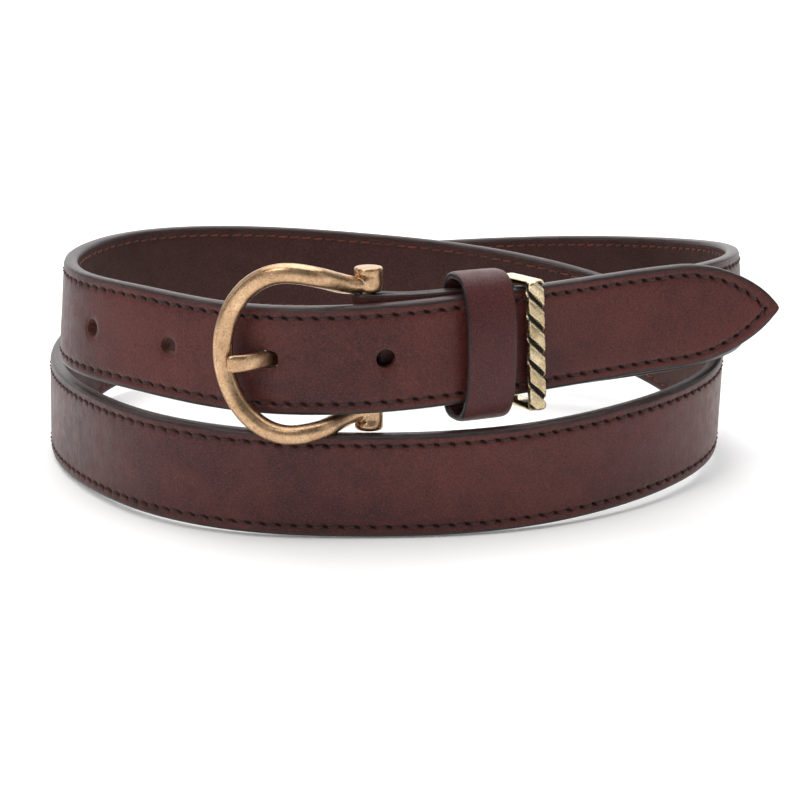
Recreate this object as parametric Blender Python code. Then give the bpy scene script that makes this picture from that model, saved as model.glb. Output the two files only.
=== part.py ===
# Leather dress belt, buckled and coiled in two turns, on its lower edge.
# Units: metres, +Z up.  Every length below is written in millimetres and
# scaled by MM.  The strap stands on edge, runs clockwise seen from above from
# its pointed tip, and comes round twice to the buckle bar.
import math
import bpy
import bmesh
import numpy as np
from mathutils import Vector

MM = 0.001

# ---------------------------------------------------------------- dimensions
STRAP_WIDTH = 25.0
GRAIN_THICK = 1.7          # outer, grain leather
LINING_THICK = 1.6         # lining leather
GLUE_GAP = 0.3             # clear gap between touching pieces
LAYER_GAP = 0.4            # tongue to buckle end of the strap
TIP_LENGTH = 27.0          # ogive point
TIP_BLUNT = 0.8
SEG_FINE = 4.0             # strap facet length where the strap is doubled
SEG_COARSE = 8.0           # strap facet length round the coil

BAR_X = -7.5               # plan position of the buckle bar
BAR_RADIUS = 1.4
FOLD_OUTER_RADIUS = 3.0    # skived grain leather wrapped round the bar
FOLD_THICK = 1.3
FLAP_LENGTH = 44.0         # turned-back end of the grain leather
SLOT_HALF_WIDTH = 2.8      # slot for the prong in the fold
SLOT_AHEAD = 5.5            # towards the prong's tip
SLOT_BEHIND = 3.3           # just clears the prong's eye

HOLE_PITCH = 27.25
HOLE_DIAMETER = 4.4
PRONG_HOLE_X = -29.9       # plan position of the hole in use
PRONG_HOLE_STRETCH = 6.6   # the hole in use is pulled long and wide
PRONG_HOLE_WIDTH = 4.8
HOLES_BEFORE = 1           # holes on the tip side of the one in use
HOLES_AFTER = 3

STITCH_MARGIN = 2.6        # thread line to strap edge
THREAD_WIDTH = 0.6
THREAD_THICK = 0.35

FRAME_CENTRE_Z = 44.0
FRAME_TOP_X = -24.8        # highest and lowest points of the C
FRAME_LEFT_X = -39.7       # rod centre at the closed side of the C
FRAME_HALF_HEIGHT = 18.45  # to the rod's centre line
FRAME_ROD_HIGH = 4.5       # rod section across the C
FRAME_ROD_DEEP = 3.6       # rod section front to back
KNOB_LENGTH = 5.9
KNOB_RADIUS = 2.45
KNOB_CAP_RADIUS = 3.3
BAR_FREE_LENGTH = 26.0
BAR_END_DEPTH = 4.2        # how far the bar enters each knob
BAR_CLEARANCE = 0.3

PRONG_WIDTH = 3.8
PRONG_THICK = 1.8
PRONG_EYE_OUTER = 2.9
PRONG_EYE_INNER = 1.7
PRONG_Z = 41.9

LEATHER_KEEPER_X = 19.6    # plan position on the tongue's outer face
LEATHER_KEEPER_WIDTH = 12.4
LEATHER_KEEPER_THICK = 1.9
LEATHER_KEEPER_HALF_HEIGHT = 17.3
LEATHER_KEEPER_TILT = 2.5  # degrees; its foot leans towards the buckle
LEATHER_KEEPER_FRONT = 8.2  # front half depth, outside
LEATHER_KEEPER_BACK = 7.4   # back half depth, outside
LEATHER_KEEPER_SLIT = 0.4   # butted ends at the back

METAL_KEEPER_X = 29.9
METAL_KEEPER_WIDTH = 4.4
METAL_KEEPER_HALF_HEIGHT = 15.2
METAL_KEEPER_PLATE = 1.5
METAL_KEEPER_BAR_DEEP = 2.6
METAL_KEEPER_CLEAR = 1.0
METAL_GROOVES = 6
METAL_GROOVE_PITCH = 5.3
METAL_GROOVE_WIDTH = 1.1
METAL_GROOVE_DEPTH = 0.8
METAL_GROOVE_SLOPE = 40.0   # degrees

STACK = GRAIN_THICK + GLUE_GAP + LINING_THICK          # one thickness of strap
FLAP_FACE = GRAIN_THICK + GLUE_GAP + GRAIN_THICK       # buckle end, doubled

# Stations of the strap's outer face round the coil: plan x, plan y, height of
# the lower edge, and outward lean of the upper edge in degrees.
STATIONS = [
    (92.5, -22.0, 33.5, -3), (64.0, -32.5, 33.0, -3), (41.0, -44.0, 32.0, -3),
    (23.5, -54.0, 31.5, -1), (4.0, -61.5, 30.5, 0), (-18.0, -63.0, 29.5, 0),
    (-40.0, -55.5, 29.0, -2), (-61.0, -42.0, 30.0, -5), (-80.0, -21.0, 30.0, -6),
    (-86.5, 7.5, 30.0, -4), (-77.5, 36.0, 30.0, -1), (-58.0, 57.5, 28.5, 2),
    (-34.0, 70.5, 26.0, 3), (-8.0, 77.5, 23.0, 2), (19.5, 78.0, 20.0, 0),
    (47.0, 70.0, 16.0, 0), (70.5, 52.0, 11.0, 1), (83.5, 25.0, 6.0, 2),
    (81.5, -4.5, 3.5, 1.5), (68.0, -28.5, 2.5, 1), (49.5, -45.5, 1.5, 1),
    (29.5, -56.0, 0.5, 2.5), (8.5, -61.0, 0.0, 4), (-13.0, -62.0, 0.0, 4),
    (-36.5, -59.5, 0.5, 3), (-59.5, -47.5, 1.0, 1.5), (-77.0, -26.5, 1.0, -0.5),
    (-90.0, 1.5, 0.5, -2), (-95.0, 36.0, 1.0, -1), (-85.5, 73.0, 4.0, 1),
    (-58.5, 102.0, 8.0, 4), (-20.5, 115.5, 12.0, 4), (19.5, 112.5, 15.5, 3),
    (54.0, 95.5, 19.5, 0.5), (79.5, 68.0, 23.5, -2), (91.0, 34.5, 27.5, -5),
    (86.0, 1.5, 29.9, -5), (68.5, -23.0, 30.9, -4),
]
# The last run lies inside the tongue: plan x, and how much higher than the tongue.
INNER_RUN = ((41.0, -1.2), (31.0, -0.9), (21.0, 0.0), (11.0, 0.9), (1.0, 1.2), (-9.0, 1.2))

# Buckle frame, from the knobs outwards: plan x, plan y, height above or below
# the centre, and size against the full rod.  The ends pass behind the tongue,
# the arms pass above and below it, and the closed side lies in front of it.
ARM_STATIONS = [
    (-7.8, -56.6, 15.0, 0.90), (-9.3, -57.1, 15.0, 0.92), (-10.9, -57.6, 15.15, 0.88),
    (-12.4, -58.5, 15.75, 0.80), (-14.1, -60.1, 16.6, 0.78), (-16.2, -62.4, 16.95, 0.82),
    (-18.6, -64.1, 17.4, 0.92),
]
SIDE_STATIONS = [
    (-21.0, -64.6), (-25.0, -64.6), (-32.0, -63.2), (-39.7, -61.2),
]

COLOURS = {
    "grain_leather": ((0.095, 0.035, 0.028, 1.0), 0.0, 0.5),
    "lining_leather": ((0.050, 0.022, 0.016, 1.0), 0.0, 0.6),
    "thread": ((0.020, 0.012, 0.010, 1.0), 0.0, 0.7),
    "buckle_brass": ((0.62, 0.46, 0.28, 1.0), 1.0, 0.35),
    "keeper_brass": ((0.46, 0.38, 0.24, 1.0), 1.0, 0.40),
    "staple_steel": ((0.55, 0.50, 0.42, 1.0), 1.0, 0.35),
}

# ------------------------------------------------------------------- helpers
for old in list(bpy.data.objects):
    bpy.data.objects.remove(old, do_unlink=True)


def material(name, tint):
    colour, metal, rough = COLOURS[tint]
    mat = bpy.data.materials.new(name)
    mat.use_nodes = True
    shader = mat.node_tree.nodes["Principled BSDF"]
    shader.inputs["Base Color"].default_value = colour
    shader.inputs["Metallic"].default_value = metal
    shader.inputs["Roughness"].default_value = rough
    mat.diffuse_color = colour
    return mat


def add_object(name, bm, tint, smooth=False):
    bmesh.ops.recalc_face_normals(bm, faces=bm.faces[:])
    mesh = bpy.data.meshes.new(name)
    bm.to_mesh(mesh)
    bm.free()
    if smooth:
        mesh.polygons.foreach_set("use_smooth", [True] * len(mesh.polygons))
    obj = bpy.data.objects.new(name, mesh)
    bpy.context.scene.collection.objects.link(obj)
    mesh.materials.append(material(name, tint))
    return obj


def loft(rings, closed_path=False, split=False):
    """Skin a list of equal rings of points into one closed solid."""
    bm = bmesh.new()
    grid = [[bm.verts.new(Vector([float(c) for c in p]) * MM) for p in ring] for ring in rings]
    n = len(rings[0])
    count = len(rings)
    for i in range(count if closed_path else count - 1):
        a, b = grid[i], grid[(i + 1) % count]
        for k in range(n):
            if split:
                bm.faces.new((a[k], a[(k + 1) % n], b[(k + 1) % n]))
                bm.faces.new((a[k], b[(k + 1) % n], b[k]))
            else:
                bm.faces.new((a[k], a[(k + 1) % n], b[(k + 1) % n], b[k]))
    if not closed_path:
        bm.faces.new(list(reversed(grid[0])))
        bm.faces.new(grid[-1])
    return bm


def boolean(target, cutter, operation):
    mod = target.modifiers.new(operation.lower() + "_" + cutter.name, "BOOLEAN")
    mod.operation = operation
    mod.solver = "EXACT"
    mod.object = cutter
    cutter.hide_render = True
    cutter.display_type = "WIRE"


def apply_modifiers(obj, cutters):
    depsgraph = bpy.context.evaluated_depsgraph_get()
    done = bpy.data.meshes.new_from_object(obj.evaluated_get(depsgraph), depsgraph=depsgraph)
    obj.modifiers.clear()
    old = obj.data
    obj.data = done
    done.name = obj.name
    bpy.data.meshes.remove(old)
    for cutter in cutters:
        bpy.data.objects.remove(cutter, do_unlink=True)


def box_solid(name, centre, ax, ay, az, size):
    bm = bmesh.new()
    c = np.array(centre, float)
    corners = []
    for i in (-0.5, 0.5):
        for j in (-0.5, 0.5):
            for k in (-0.5, 0.5):
                p = c + ax * size[0] * i + ay * size[1] * j + az * size[2] * k
                corners.append(bm.verts.new(Vector([float(v) for v in p]) * MM))
    for f in ((0, 1, 3, 2), (4, 6, 7, 5), (0, 4, 5, 1), (2, 3, 7, 6), (0, 2, 6, 4), (1, 5, 7, 3)):
        bm.faces.new([corners[i] for i in f])
    return add_object(name, bm, "thread")


def prism(name, centre, axis, side, half_len, radius_a, radius_b, sides, power=2.0):
    """Prism along axis; oval if radius_a (along side) differs from radius_b."""
    other = np.cross(axis, side)
    rings = []
    for end in (-half_len, half_len):
        ring = []
        for k in range(sides):
            ca, sa = math.cos(2 * math.pi * k / sides), math.sin(2 * math.pi * k / sides)
            ring.append(centre + axis * end
                        + side * radius_a * math.copysign(abs(ca) ** (2 / power), ca)
                        + other * radius_b * math.copysign(abs(sa) ** (2 / power), sa))
        rings.append(ring)
    return add_object(name, loft(rings), "thread")


def natural_spline(knots, values, at):
    """Natural cubic spline through values at knots."""
    knots = np.asarray(knots, float)
    values = np.asarray(values, float)
    n = len(knots)
    h = np.diff(knots)
    a = np.zeros((n, n))
    r = np.zeros_like(values)
    a[0, 0] = a[-1, -1] = 1.0
    for i in range(1, n - 1):
        a[i, i - 1], a[i, i], a[i, i + 1] = h[i - 1], 2 * (h[i - 1] + h[i]), h[i]
        r[i] = 6 * ((values[i + 1] - values[i]) / h[i] - (values[i] - values[i - 1]) / h[i - 1])
    m = np.linalg.solve(a, r)
    at = np.asarray(at, float)
    k = np.clip(np.searchsorted(knots, at) - 1, 0, n - 2)
    p, q, hk = (knots[k + 1] - at)[:, None], (at - knots[k])[:, None], h[k][:, None]
    return ((m[k] * p ** 3 + m[k + 1] * q ** 3) / (6 * hk)
            + (values[k] / hk - m[k] * hk / 6) * p + (values[k + 1] / hk - m[k + 1] * hk / 6) * q)


# ------------------------------------------------------------ strap centre line
def smooth_curve(points, samples):
    pts = np.array(points, float)
    d = np.concatenate([[0], np.cumsum(np.linalg.norm(np.diff(pts[:, :2], axis=0), axis=1))])
    return natural_spline(d, pts, np.linspace(0, d[-1], samples))


def with_inner_run(stations):
    """Add the last run: the tongue's own line, moved inwards by one strap."""
    line = smooth_curve(stations, 4000)
    step = np.gradient(line[:, :2], axis=0)
    step /= np.linalg.norm(step, axis=1)[:, None]
    outward = np.stack([-step[:, 1], step[:, 0]], 1)
    first = len(line) // 6
    rows = list(stations)
    for x, rise in INNER_RUN:
        k = int(np.argmin(np.abs(line[:first, 0] - x)))
        p = line[k, :2] - outward[k] * (STACK + LAYER_GAP)
        rows.append((p[0], p[1], line[k, 2] + rise, line[k, 3]))
    return rows


PATH = smooth_curve(with_inner_run(STATIONS), 9000)
PATH_S = np.concatenate([[0], np.cumsum(np.linalg.norm(np.diff(PATH[:, :3], axis=0), axis=1))])
S_BAR = float(PATH_S[-3000 + int(np.argmin(np.abs(PATH[-3000:, 0] - BAR_X)))])
# Level the strap where it meets the upright bar.
ease = np.clip((PATH_S - (S_BAR - 26.0)) / 16.0, 0, 1)
ease = ease * ease * (3 - 2 * ease)
BAR_LEVEL = FRAME_CENTRE_Z - STRAP_WIDTH / 2
PATH[:, 2] = PATH[:, 2] * (1 - ease) + BAR_LEVEL * ease
PATH[:, 3] = PATH[:, 3] * (1 - ease)


def along(s):
    return np.array([np.interp(s, PATH_S, PATH[:, i]) for i in range(4)])


def frame_at(s):
    """Centre point on the outer face, travel, width and outward directions."""
    x, y, low, lean = along(s)
    t = along(min(s + 0.5, PATH_S[-1]))[:3] - along(max(s - 0.5, 0))[:3]
    t /= np.linalg.norm(t)
    up = np.array([0, 0, 1.0]) - t * t[2]
    up /= np.linalg.norm(up)
    out = np.cross(up, t)
    a = math.radians(lean)
    u = math.cos(a) * up + math.sin(a) * out
    n = math.cos(a) * out - math.sin(a) * up
    c = np.array([x, y, low + STRAP_WIDTH / 2 * math.cos(a) * up[2]])
    return c, t, u, n


def s_at_x(x):
    """Distance from the tip to plan position x on the tongue."""
    m = PATH_S < 160.0
    return float(PATH_S[m][int(np.argmin(np.abs(PATH[m, 0] - x)))])


def half_width(s, inset=0.0):
    """Half width of the ogive point, or of the full strap after it."""
    half = STRAP_WIDTH / 2
    if s >= TIP_LENGTH:
        return half - inset
    radius = (TIP_LENGTH ** 2 + half ** 2) / (2 * half)
    r = radius - inset
    reach = TIP_LENGTH - s
    return max(math.sqrt(max(r * r - reach * reach, 0.0)) - (radius - half), 0.0)


def strap_stops(start, end):
    """Section positions: close at the tip and where the strap is doubled."""
    stops = [0.0, 0.5, 1.3, 2.6, 4.5, 7.0, 10.0, 13.5, 17.5, 22.0]
    s = TIP_LENGTH
    while s < PATH_S[-1]:
        stops.append(s)
        fine = s < 112.0 or s > S_BAR - 84.0
        s += SEG_FINE if fine else SEG_COARSE
    stops = [v for v in stops if start + 0.6 < v < end - 0.6]
    return [start] + stops + [end]


def band_ring(c, u, n, hi, lo, top, bottom, bevel_top, bevel_bottom):
    """Six-sided section between depths top and bottom below the outer face."""
    e = 0.45
    ring = []
    if bevel_top:
        ring += [(hi, top + e), (hi - e, top), (-lo + e, top), (-lo, top + e)]
    else:
        ring += [(hi, top), (-lo, top)]
    if bevel_bottom:
        ring += [(-lo, bottom - e), (-lo + e, bottom), (hi - e, bottom), (hi, bottom - e)]
    else:
        ring += [(-lo, bottom), (hi, bottom)]
    return [c + u * a - n * d for a, d in ring]


def tip_half(s):
    return max(half_width(s), TIP_BLUNT + 0.9 * math.sqrt(min(s, 1.3)))


# ------------------------------------------------------- outer (grain) leather
def fold_sections():
    """Sections of the grain leather: coil, wrap round the bar, turned-back flap."""
    half = STRAP_WIDTH / 2
    out = []
    for s in strap_stops(0.0, S_BAR):
        c, t, u, n = frame_at(s)
        h = tip_half(s)
        thin = np.clip((s - (S_BAR - 10.0)) / 8.0, 0, 1)
        thick = GRAIN_THICK + (FOLD_THICK - GRAIN_THICK) * thin
        out.append((c, u, n, h, thick))
    c, t, u, n = frame_at(S_BAR)
    centre = c - n * FOLD_OUTER_RADIUS
    for k in range(1, 8):
        a = math.pi * k / 8
        r = n * math.cos(a) + t * math.sin(a)
        out.append((centre + r * FOLD_OUTER_RADIUS, u, r, half, FOLD_THICK))
    # turned-back flap: leaves the bar and closes onto the main layer
    back = [0.0, 1.5, 3.0, 4.5, 6.0, 7.5, 9.0, 10.5]
    x = 10.5
    while x < FLAP_LENGTH - 0.5:
        x = min(x + SEG_FINE, FLAP_LENGTH)
        back.append(x)

    def flap_point(x):
        c, t, u, n = frame_at(S_BAR - x)
        w = min(x / 10.5, 1.0)
        w = w * w * (3 - 2 * w)
        depth = 2 * FOLD_OUTER_RADIUS * (1 - w) + FLAP_FACE * w
        return c - n * depth, u, n
    for x in back:
        p, u, n = flap_point(x)
        a, _, _ = flap_point(max(x - 0.3, 0.0))
        b, _, _ = flap_point(x + 0.3)
        go = (b - a) / np.linalg.norm(b - a)
        face = np.cross(u, go)
        face /= np.linalg.norm(face)
        if np.dot(face, n) > 0:
            face = -face
        thick = FOLD_THICK + (GRAIN_THICK - FOLD_THICK) * min(x / 9.0, 1.0)
        out.append((p, u, face, half, thick))
    return out


rings = []
for c, u, n, h, thick in fold_sections():
    ring = band_ring(c, u, n, h, h, 0.0, thick, True, False)
    rings.append(ring)
strap_outer = add_object("strap_outer_leather", loft(rings, split=True), "grain_leather")

# -------------------------------------------------------------------- lining
LINING_END = S_BAR - FLAP_LENGTH - 0.6
rings = []
for s in strap_stops(0.0, LINING_END):
    c, t, u, n = frame_at(s)
    h = tip_half(s)
    ring = band_ring(c, u, n, h, h, GRAIN_THICK + GLUE_GAP, STACK, False, True)
    rings.append(list(reversed(ring)))   # so both layers' facets split alike
strap_lining = add_object("strap_lining", loft(rings, split=True), "lining_leather")

# ---------------------------------------------------------------- punched holes
S_PRONG_HOLE = s_at_x(PRONG_HOLE_X)
hole_cutters = []
for k in range(-HOLES_BEFORE, HOLES_AFTER + 1):
    c, t, u, n = frame_at(S_PRONG_HOLE + k * HOLE_PITCH)
    length = PRONG_HOLE_STRETCH if k == 0 else HOLE_DIAMETER
    width = PRONG_HOLE_WIDTH if k == 0 else HOLE_DIAMETER
    hole_cutters.append(prism("hole_cutter_%d" % k, c - n * STACK / 2, n, t, 4.0,
                              length / 2, width / 2, 16, 3.2 if k == 0 else 2.0))
bar_c, bar_t, bar_u, bar_n = frame_at(S_BAR)
BAR_CENTRE = bar_c - bar_n * FOLD_OUTER_RADIUS
slot_centre = BAR_CENTRE.copy()
slot_centre[2] = PRONG_Z
slot_centre += bar_t * (SLOT_AHEAD - SLOT_BEHIND) / 2
slot = box_solid("slot_cutter", slot_centre, bar_t, np.array([0, 0, 1.0]), bar_n,
                 (SLOT_AHEAD + SLOT_BEHIND, 2 * SLOT_HALF_WIDTH, 9.0))
for cutter in hole_cutters:
    boolean(strap_outer, cutter, "DIFFERENCE")
    boolean(strap_lining, cutter, "DIFFERENCE")
boolean(strap_outer, slot, "DIFFERENCE")
apply_modifiers(strap_outer, [slot])
apply_modifiers(strap_lining, hole_cutters)


# ------------------------------------------------------------------ stitching
def thread_solid(name, line):
    """Thread laid along (point, surface normal) pairs, just clear of the face."""
    pts = [p for p, _ in line]
    rings = []
    for i, (p, n) in enumerate(line):
        go = pts[min(i + 1, len(pts) - 1)] - pts[max(i - 1, 0)]
        go /= np.linalg.norm(go)
        side = np.cross(n, go)
        side /= np.linalg.norm(side)
        low = p + n * GLUE_GAP
        high = p + n * (GLUE_GAP + THREAD_THICK)
        w = THREAD_WIDTH / 2
        rings.append([low + side * w, high, low - side * w])
    return add_object(name, loft(rings), "thread")


FACE_END = S_BAR - 84.0
line = []
for s in reversed(strap_stops(6.0, FACE_END)):
    c, t, u, n = frame_at(s)
    line.append((c + u * half_width(s, STITCH_MARGIN), n))
c, t, u, n = frame_at(STITCH_MARGIN + 2.4)
line.append((c, n))
for s in strap_stops(6.0, FACE_END):
    c, t, u, n = frame_at(s)
    line.append((c - u * half_width(s, STITCH_MARGIN), n))
face_stitching = thread_solid("face_stitching", line)

LINING_ROW_START = s_at_x(-20.0)
row = STRAP_WIDTH / 2 - STITCH_MARGIN
line = []
for s in strap_stops(LINING_ROW_START, LINING_END - 3.0):
    c, t, u, n = frame_at(s)
    line.append((c + u * row - n * STACK, -n))
end_c, end_t, end_u, end_n = frame_at(LINING_END - 3.0)
for k in (0.9, 0.5, 0.0, -0.5, -0.9):
    line.append((end_c + end_u * row * k - end_n * STACK + end_t * 1.0, -end_n))
for s in reversed(strap_stops(LINING_ROW_START, LINING_END - 3.0)):
    c, t, u, n = frame_at(s)
    line.append((c - u * row - n * STACK, -n))
lining_stitching = thread_solid("lining_stitching", line)

line = []
flap_stops = [13.0 + 3.5 * k for k in range(9)]
for x in flap_stops:
    c, t, u, n = frame_at(S_BAR - x)
    line.append((c + u * row - n * FLAP_FACE, -n))
end_c, end_t, end_u, end_n = frame_at(S_BAR - flap_stops[-1])
for k in (0.9, 0.5, 0.0, -0.5, -0.9):
    line.append((end_c + end_u * row * k - end_n * FLAP_FACE - end_t * 0.8, -end_n))
for x in reversed(flap_stops):
    c, t, u, n = frame_at(S_BAR - x)
    line.append((c - u * row - n * FLAP_FACE, -n))
turnback_stitching = thread_solid("turnback_stitching", line)

# ---------------------------------------------------------------- buckle frame
KNOB_INNER = BAR_FREE_LENGTH / 2


def frame_line():
    """Centre line of the C, from the upper knob round to the lower knob."""
    arm = [(x, y, z, w) for x, y, z, w in ARM_STATIONS]
    plan = [(x, y) for x, y, _, _ in ARM_STATIONS[-3:]] + SIDE_STATIONS
    knots = [-x for x, _ in plan]
    steps = 26
    curve = []
    for k in range(1, steps):
        a = math.pi / 2 + math.pi * k / steps
        x = FRAME_TOP_X + (FRAME_TOP_X - FRAME_LEFT_X) * math.cos(a)
        curve.append((x, FRAME_HALF_HEIGHT * math.sin(a)))
    shoulder = [(-21.4, 17.95), (-24.0, 18.43)]
    curve = shoulder + curve + [(x, -z) for x, z in reversed(shoulder)]
    depth = natural_spline(knots, [[y] for _, y in plan], [-x for x, _ in curve])[:, 0]
    side = [(x, float(y), z, 1.0) for (x, z), y in zip(curve, depth)]
    return arm + side + [(x, y, -z, w) for x, y, z, w in reversed(arm)]


def rod_rings(line):
    pts = [np.array([x, y, z + FRAME_CENTRE_Z]) for x, y, z, w in line]
    rings = []
    for i, (x, y, z, w) in enumerate(line):
        go = pts[min(i + 1, len(pts) - 1)] - pts[max(i - 1, 0)]
        go /= np.linalg.norm(go)
        front = np.array([0, -1.0, 0])
        side = np.cross(go, front)
        side /= np.linalg.norm(side)
        face = np.cross(side, go)
        a, b = FRAME_ROD_HIGH / 2 * w, FRAME_ROD_DEEP / 2 * w
        ring = []
        for k in range(12):
            ang = 2 * math.pi * (k + 0.5) / 12
            ca, sa = math.cos(ang), math.sin(ang)
            ring.append(pts[i] + side * a * math.copysign(abs(ca) ** 0.9, ca)
                        + face * b * math.copysign(abs(sa) ** 0.9, sa))
        rings.append(ring)
    return rings


def round_peg(name, centre, profile, sides, tint):
    """Upright peg from (height, radius across, radius front-to-back) rows."""
    rings = []
    for z, ra, rb in profile:
        rings.append([centre + np.array([ra * math.cos(2 * math.pi * k / sides),
                                         rb * math.sin(2 * math.pi * k / sides), z])
                      for k in range(sides)])
    return add_object(name, loft(rings), tint)


buckle_frame = add_object("buckle_frame", loft(rod_rings(frame_line())), "buckle_brass")
axis_point = np.array([BAR_CENTRE[0], BAR_CENTRE[1], FRAME_CENTRE_Z])
pegs = []
for sign in (1, -1):
    z0 = KNOB_INNER * sign
    z1 = (KNOB_INNER + KNOB_LENGTH) * sign
    top = [(0.0, 0.92, 0.95), (0.12, 1.0, 1.0), (0.62, 1.0, 1.05), (0.74, 1.16, 1.22),
           (0.80, 1.32, 1.42), (0.93, 1.34, 1.45), (1.0, 1.16, 1.24)]
    profile = [(z0 + (z1 - z0) * f, KNOB_RADIUS * a, KNOB_RADIUS * b) for f, a, b in top]
    pegs.append(round_peg("knob_%d" % sign, axis_point, profile, 20, "buckle_brass"))
bores = []
for sign in (1, -1):
    a = (KNOB_INNER - 1.0) * sign
    b = (KNOB_INNER + BAR_END_DEPTH + BAR_CLEARANCE) * sign
    r = BAR_RADIUS + BAR_CLEARANCE
    bores.append(round_peg("bore_%d" % sign, axis_point, [(a, r, r), (b, r, r)], 16, "thread"))
for peg in pegs:
    boolean(buckle_frame, peg, "UNION")
for bore in bores:
    boolean(buckle_frame, bore, "DIFFERENCE")
apply_modifiers(buckle_frame, pegs + bores)
buckle_frame.data.materials.clear()
buckle_frame.data.materials.append(bpy.data.materials["buckle_frame"])

half_bar = KNOB_INNER + BAR_END_DEPTH
buckle_bar = round_peg("buckle_bar", axis_point,
                       [(-half_bar, BAR_RADIUS - 0.25, BAR_RADIUS - 0.25),
                        (-half_bar + 0.3, BAR_RADIUS, BAR_RADIUS),
                        (half_bar - 0.3, BAR_RADIUS, BAR_RADIUS),
                        (half_bar, BAR_RADIUS - 0.25, BAR_RADIUS - 0.25)], 16, "buckle_brass")

# ------------------------------------------------------------------------ prong
prong_centre = np.array([BAR_CENTRE[0], BAR_CENTRE[1], PRONG_Z])
# plan points of the prong's centre line, and its thickness and width factor:
# behind the tongue, out through the hole, and on to the front of the rod
PRONG_LINE = [
    (-8.4, -58.2, 1.7, 1.0), (-11.3, -58.2, 1.8, 1.0), (-16.8, -57.95, 1.8, 1.0),
    (-20.0, -57.5, 1.8, 1.0), (-22.5, -56.95, 1.8, 1.0), (-24.7, -56.3, 1.8, 1.0),
    (-26.3, -56.25, 1.8, 0.95), (-27.7, -57.0, 1.8, 0.92), (-29.1, -58.3, 1.8, 0.92),
    (-30.4, -59.6, 1.8, 0.92), (-31.8, -61.0, 1.8, 0.95), (-33.2, -62.3, 1.8, 1.0),
    (-34.7, -63.4, 1.8, 1.0), (-36.4, -64.05, 1.8, 1.0), (-38.0, -64.15, 1.6, 0.88),
    (-38.8, -64.15, 1.3, 0.62),
]


def prong_solid():
    pts = [np.array([x, y, PRONG_Z]) for x, y, _, _ in PRONG_LINE]
    rings = []
    for i, (x, y, thick, wide) in enumerate(PRONG_LINE):
        go = pts[min(i + 1, len(pts) - 1)] - pts[max(i - 1, 0)]
        go /= np.linalg.norm(go)
        wide_dir = np.array([0, 0, 1.0])
        face = np.cross(go, wide_dir)
        if face[1] > 0:
            face = -face
        a, b = PRONG_WIDTH / 2 * wide, thick / 2
        outline = [(1.0, -0.45), (0.80, -1.0), (-0.80, -1.0), (-1.0, -0.45),
                   (-1.0, 0.35), (-0.70, 1.0), (0.70, 1.0), (1.0, 0.35)]
        rings.append([pts[i] + wide_dir * a * p + face * b * q for p, q in outline])
    return loft(rings)


buckle_prong = add_object("buckle_prong", prong_solid(), "buckle_brass")
h = PRONG_WIDTH / 2 + 0.15
eye = round_peg("prong_eye", prong_centre, [(-h, PRONG_EYE_OUTER - 0.3, PRONG_EYE_OUTER - 0.3),
                                            (-h + 0.3, PRONG_EYE_OUTER, PRONG_EYE_OUTER),
                                            (h - 0.3, PRONG_EYE_OUTER, PRONG_EYE_OUTER),
                                            (h, PRONG_EYE_OUTER - 0.3, PRONG_EYE_OUTER - 0.3)],
                20, "buckle_brass")
eye_bore = round_peg("eye_bore", prong_centre, [(-6, PRONG_EYE_INNER, PRONG_EYE_INNER),
                                                (6, PRONG_EYE_INNER, PRONG_EYE_INNER)], 16, "thread")
boolean(buckle_prong, eye, "UNION")
boolean(buckle_prong, eye_bore, "DIFFERENCE")
apply_modifiers(buckle_prong, [eye, eye_bore])
buckle_prong.data.materials.clear()
buckle_prong.data.materials.append(bpy.data.materials["buckle_prong"])

# -------------------------------------------------------------- leather keeper
s_lk = s_at_x(LEATHER_KEEPER_X)
lk_c, lk_t, lk_u, lk_n = frame_at(s_lk)
lk_lean = math.radians(LEATHER_KEEPER_TILT)
lk_t, lk_u = (lk_t * math.cos(lk_lean) + lk_u * math.sin(lk_lean),
              lk_u * math.cos(lk_lean) - lk_t * math.sin(lk_lean))
LK_MID_DEPTH = 4.3
lk_origin = lk_c - lk_n * LK_MID_DEPTH - lk_u * 0.3


def loop_point(ang, half_high, front, back, power_front, power_back):
    ca, sa = math.cos(ang), math.sin(ang)
    deep, power = (front, power_front) if ca >= 0 else (back, power_back)
    return (half_high * math.copysign(abs(sa) ** (2 / power), sa),
            deep * math.copysign(abs(ca) ** (2 / power), ca))


rings = []
t_k = LEATHER_KEEPER_THICK
loops = 52
slit = LEATHER_KEEPER_SLIT / (2 * LEATHER_KEEPER_HALF_HEIGHT)
for k in range(loops + 1):
    f = k / loops
    ang = -math.pi + 2 * math.pi * f
    high_o, deep_o = loop_point(ang, LEATHER_KEEPER_HALF_HEIGHT, LEATHER_KEEPER_FRONT,
                                LEATHER_KEEPER_BACK, 2.5, 3.2)
    high_i, deep_i = loop_point(ang, LEATHER_KEEPER_HALF_HEIGHT - t_k, LEATHER_KEEPER_FRONT - t_k,
                                LEATHER_KEEPER_BACK - t_k, 2.8, 3.4)
    if k in (0, loops):
        side = -1 if k == 0 else 1
        high_o = high_i = side * LEATHER_KEEPER_SLIT / 2
        deep_o, deep_i = -LEATHER_KEEPER_BACK, -(LEATHER_KEEPER_BACK - t_k)
    o = lk_origin + lk_u * high_o + lk_n * deep_o
    i = lk_origin + lk_u * high_i + lk_n * deep_i
    w = lk_t * LEATHER_KEEPER_WIDTH / 2
    e = lk_t * 0.35
    m = o + (i - o) * 0.18
    rings.append([m - w, o - w + e, o + w - e, m + w, i + w, i - w])
leather_keeper = add_object("leather_keeper", loft(rings), "grain_leather")

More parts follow.
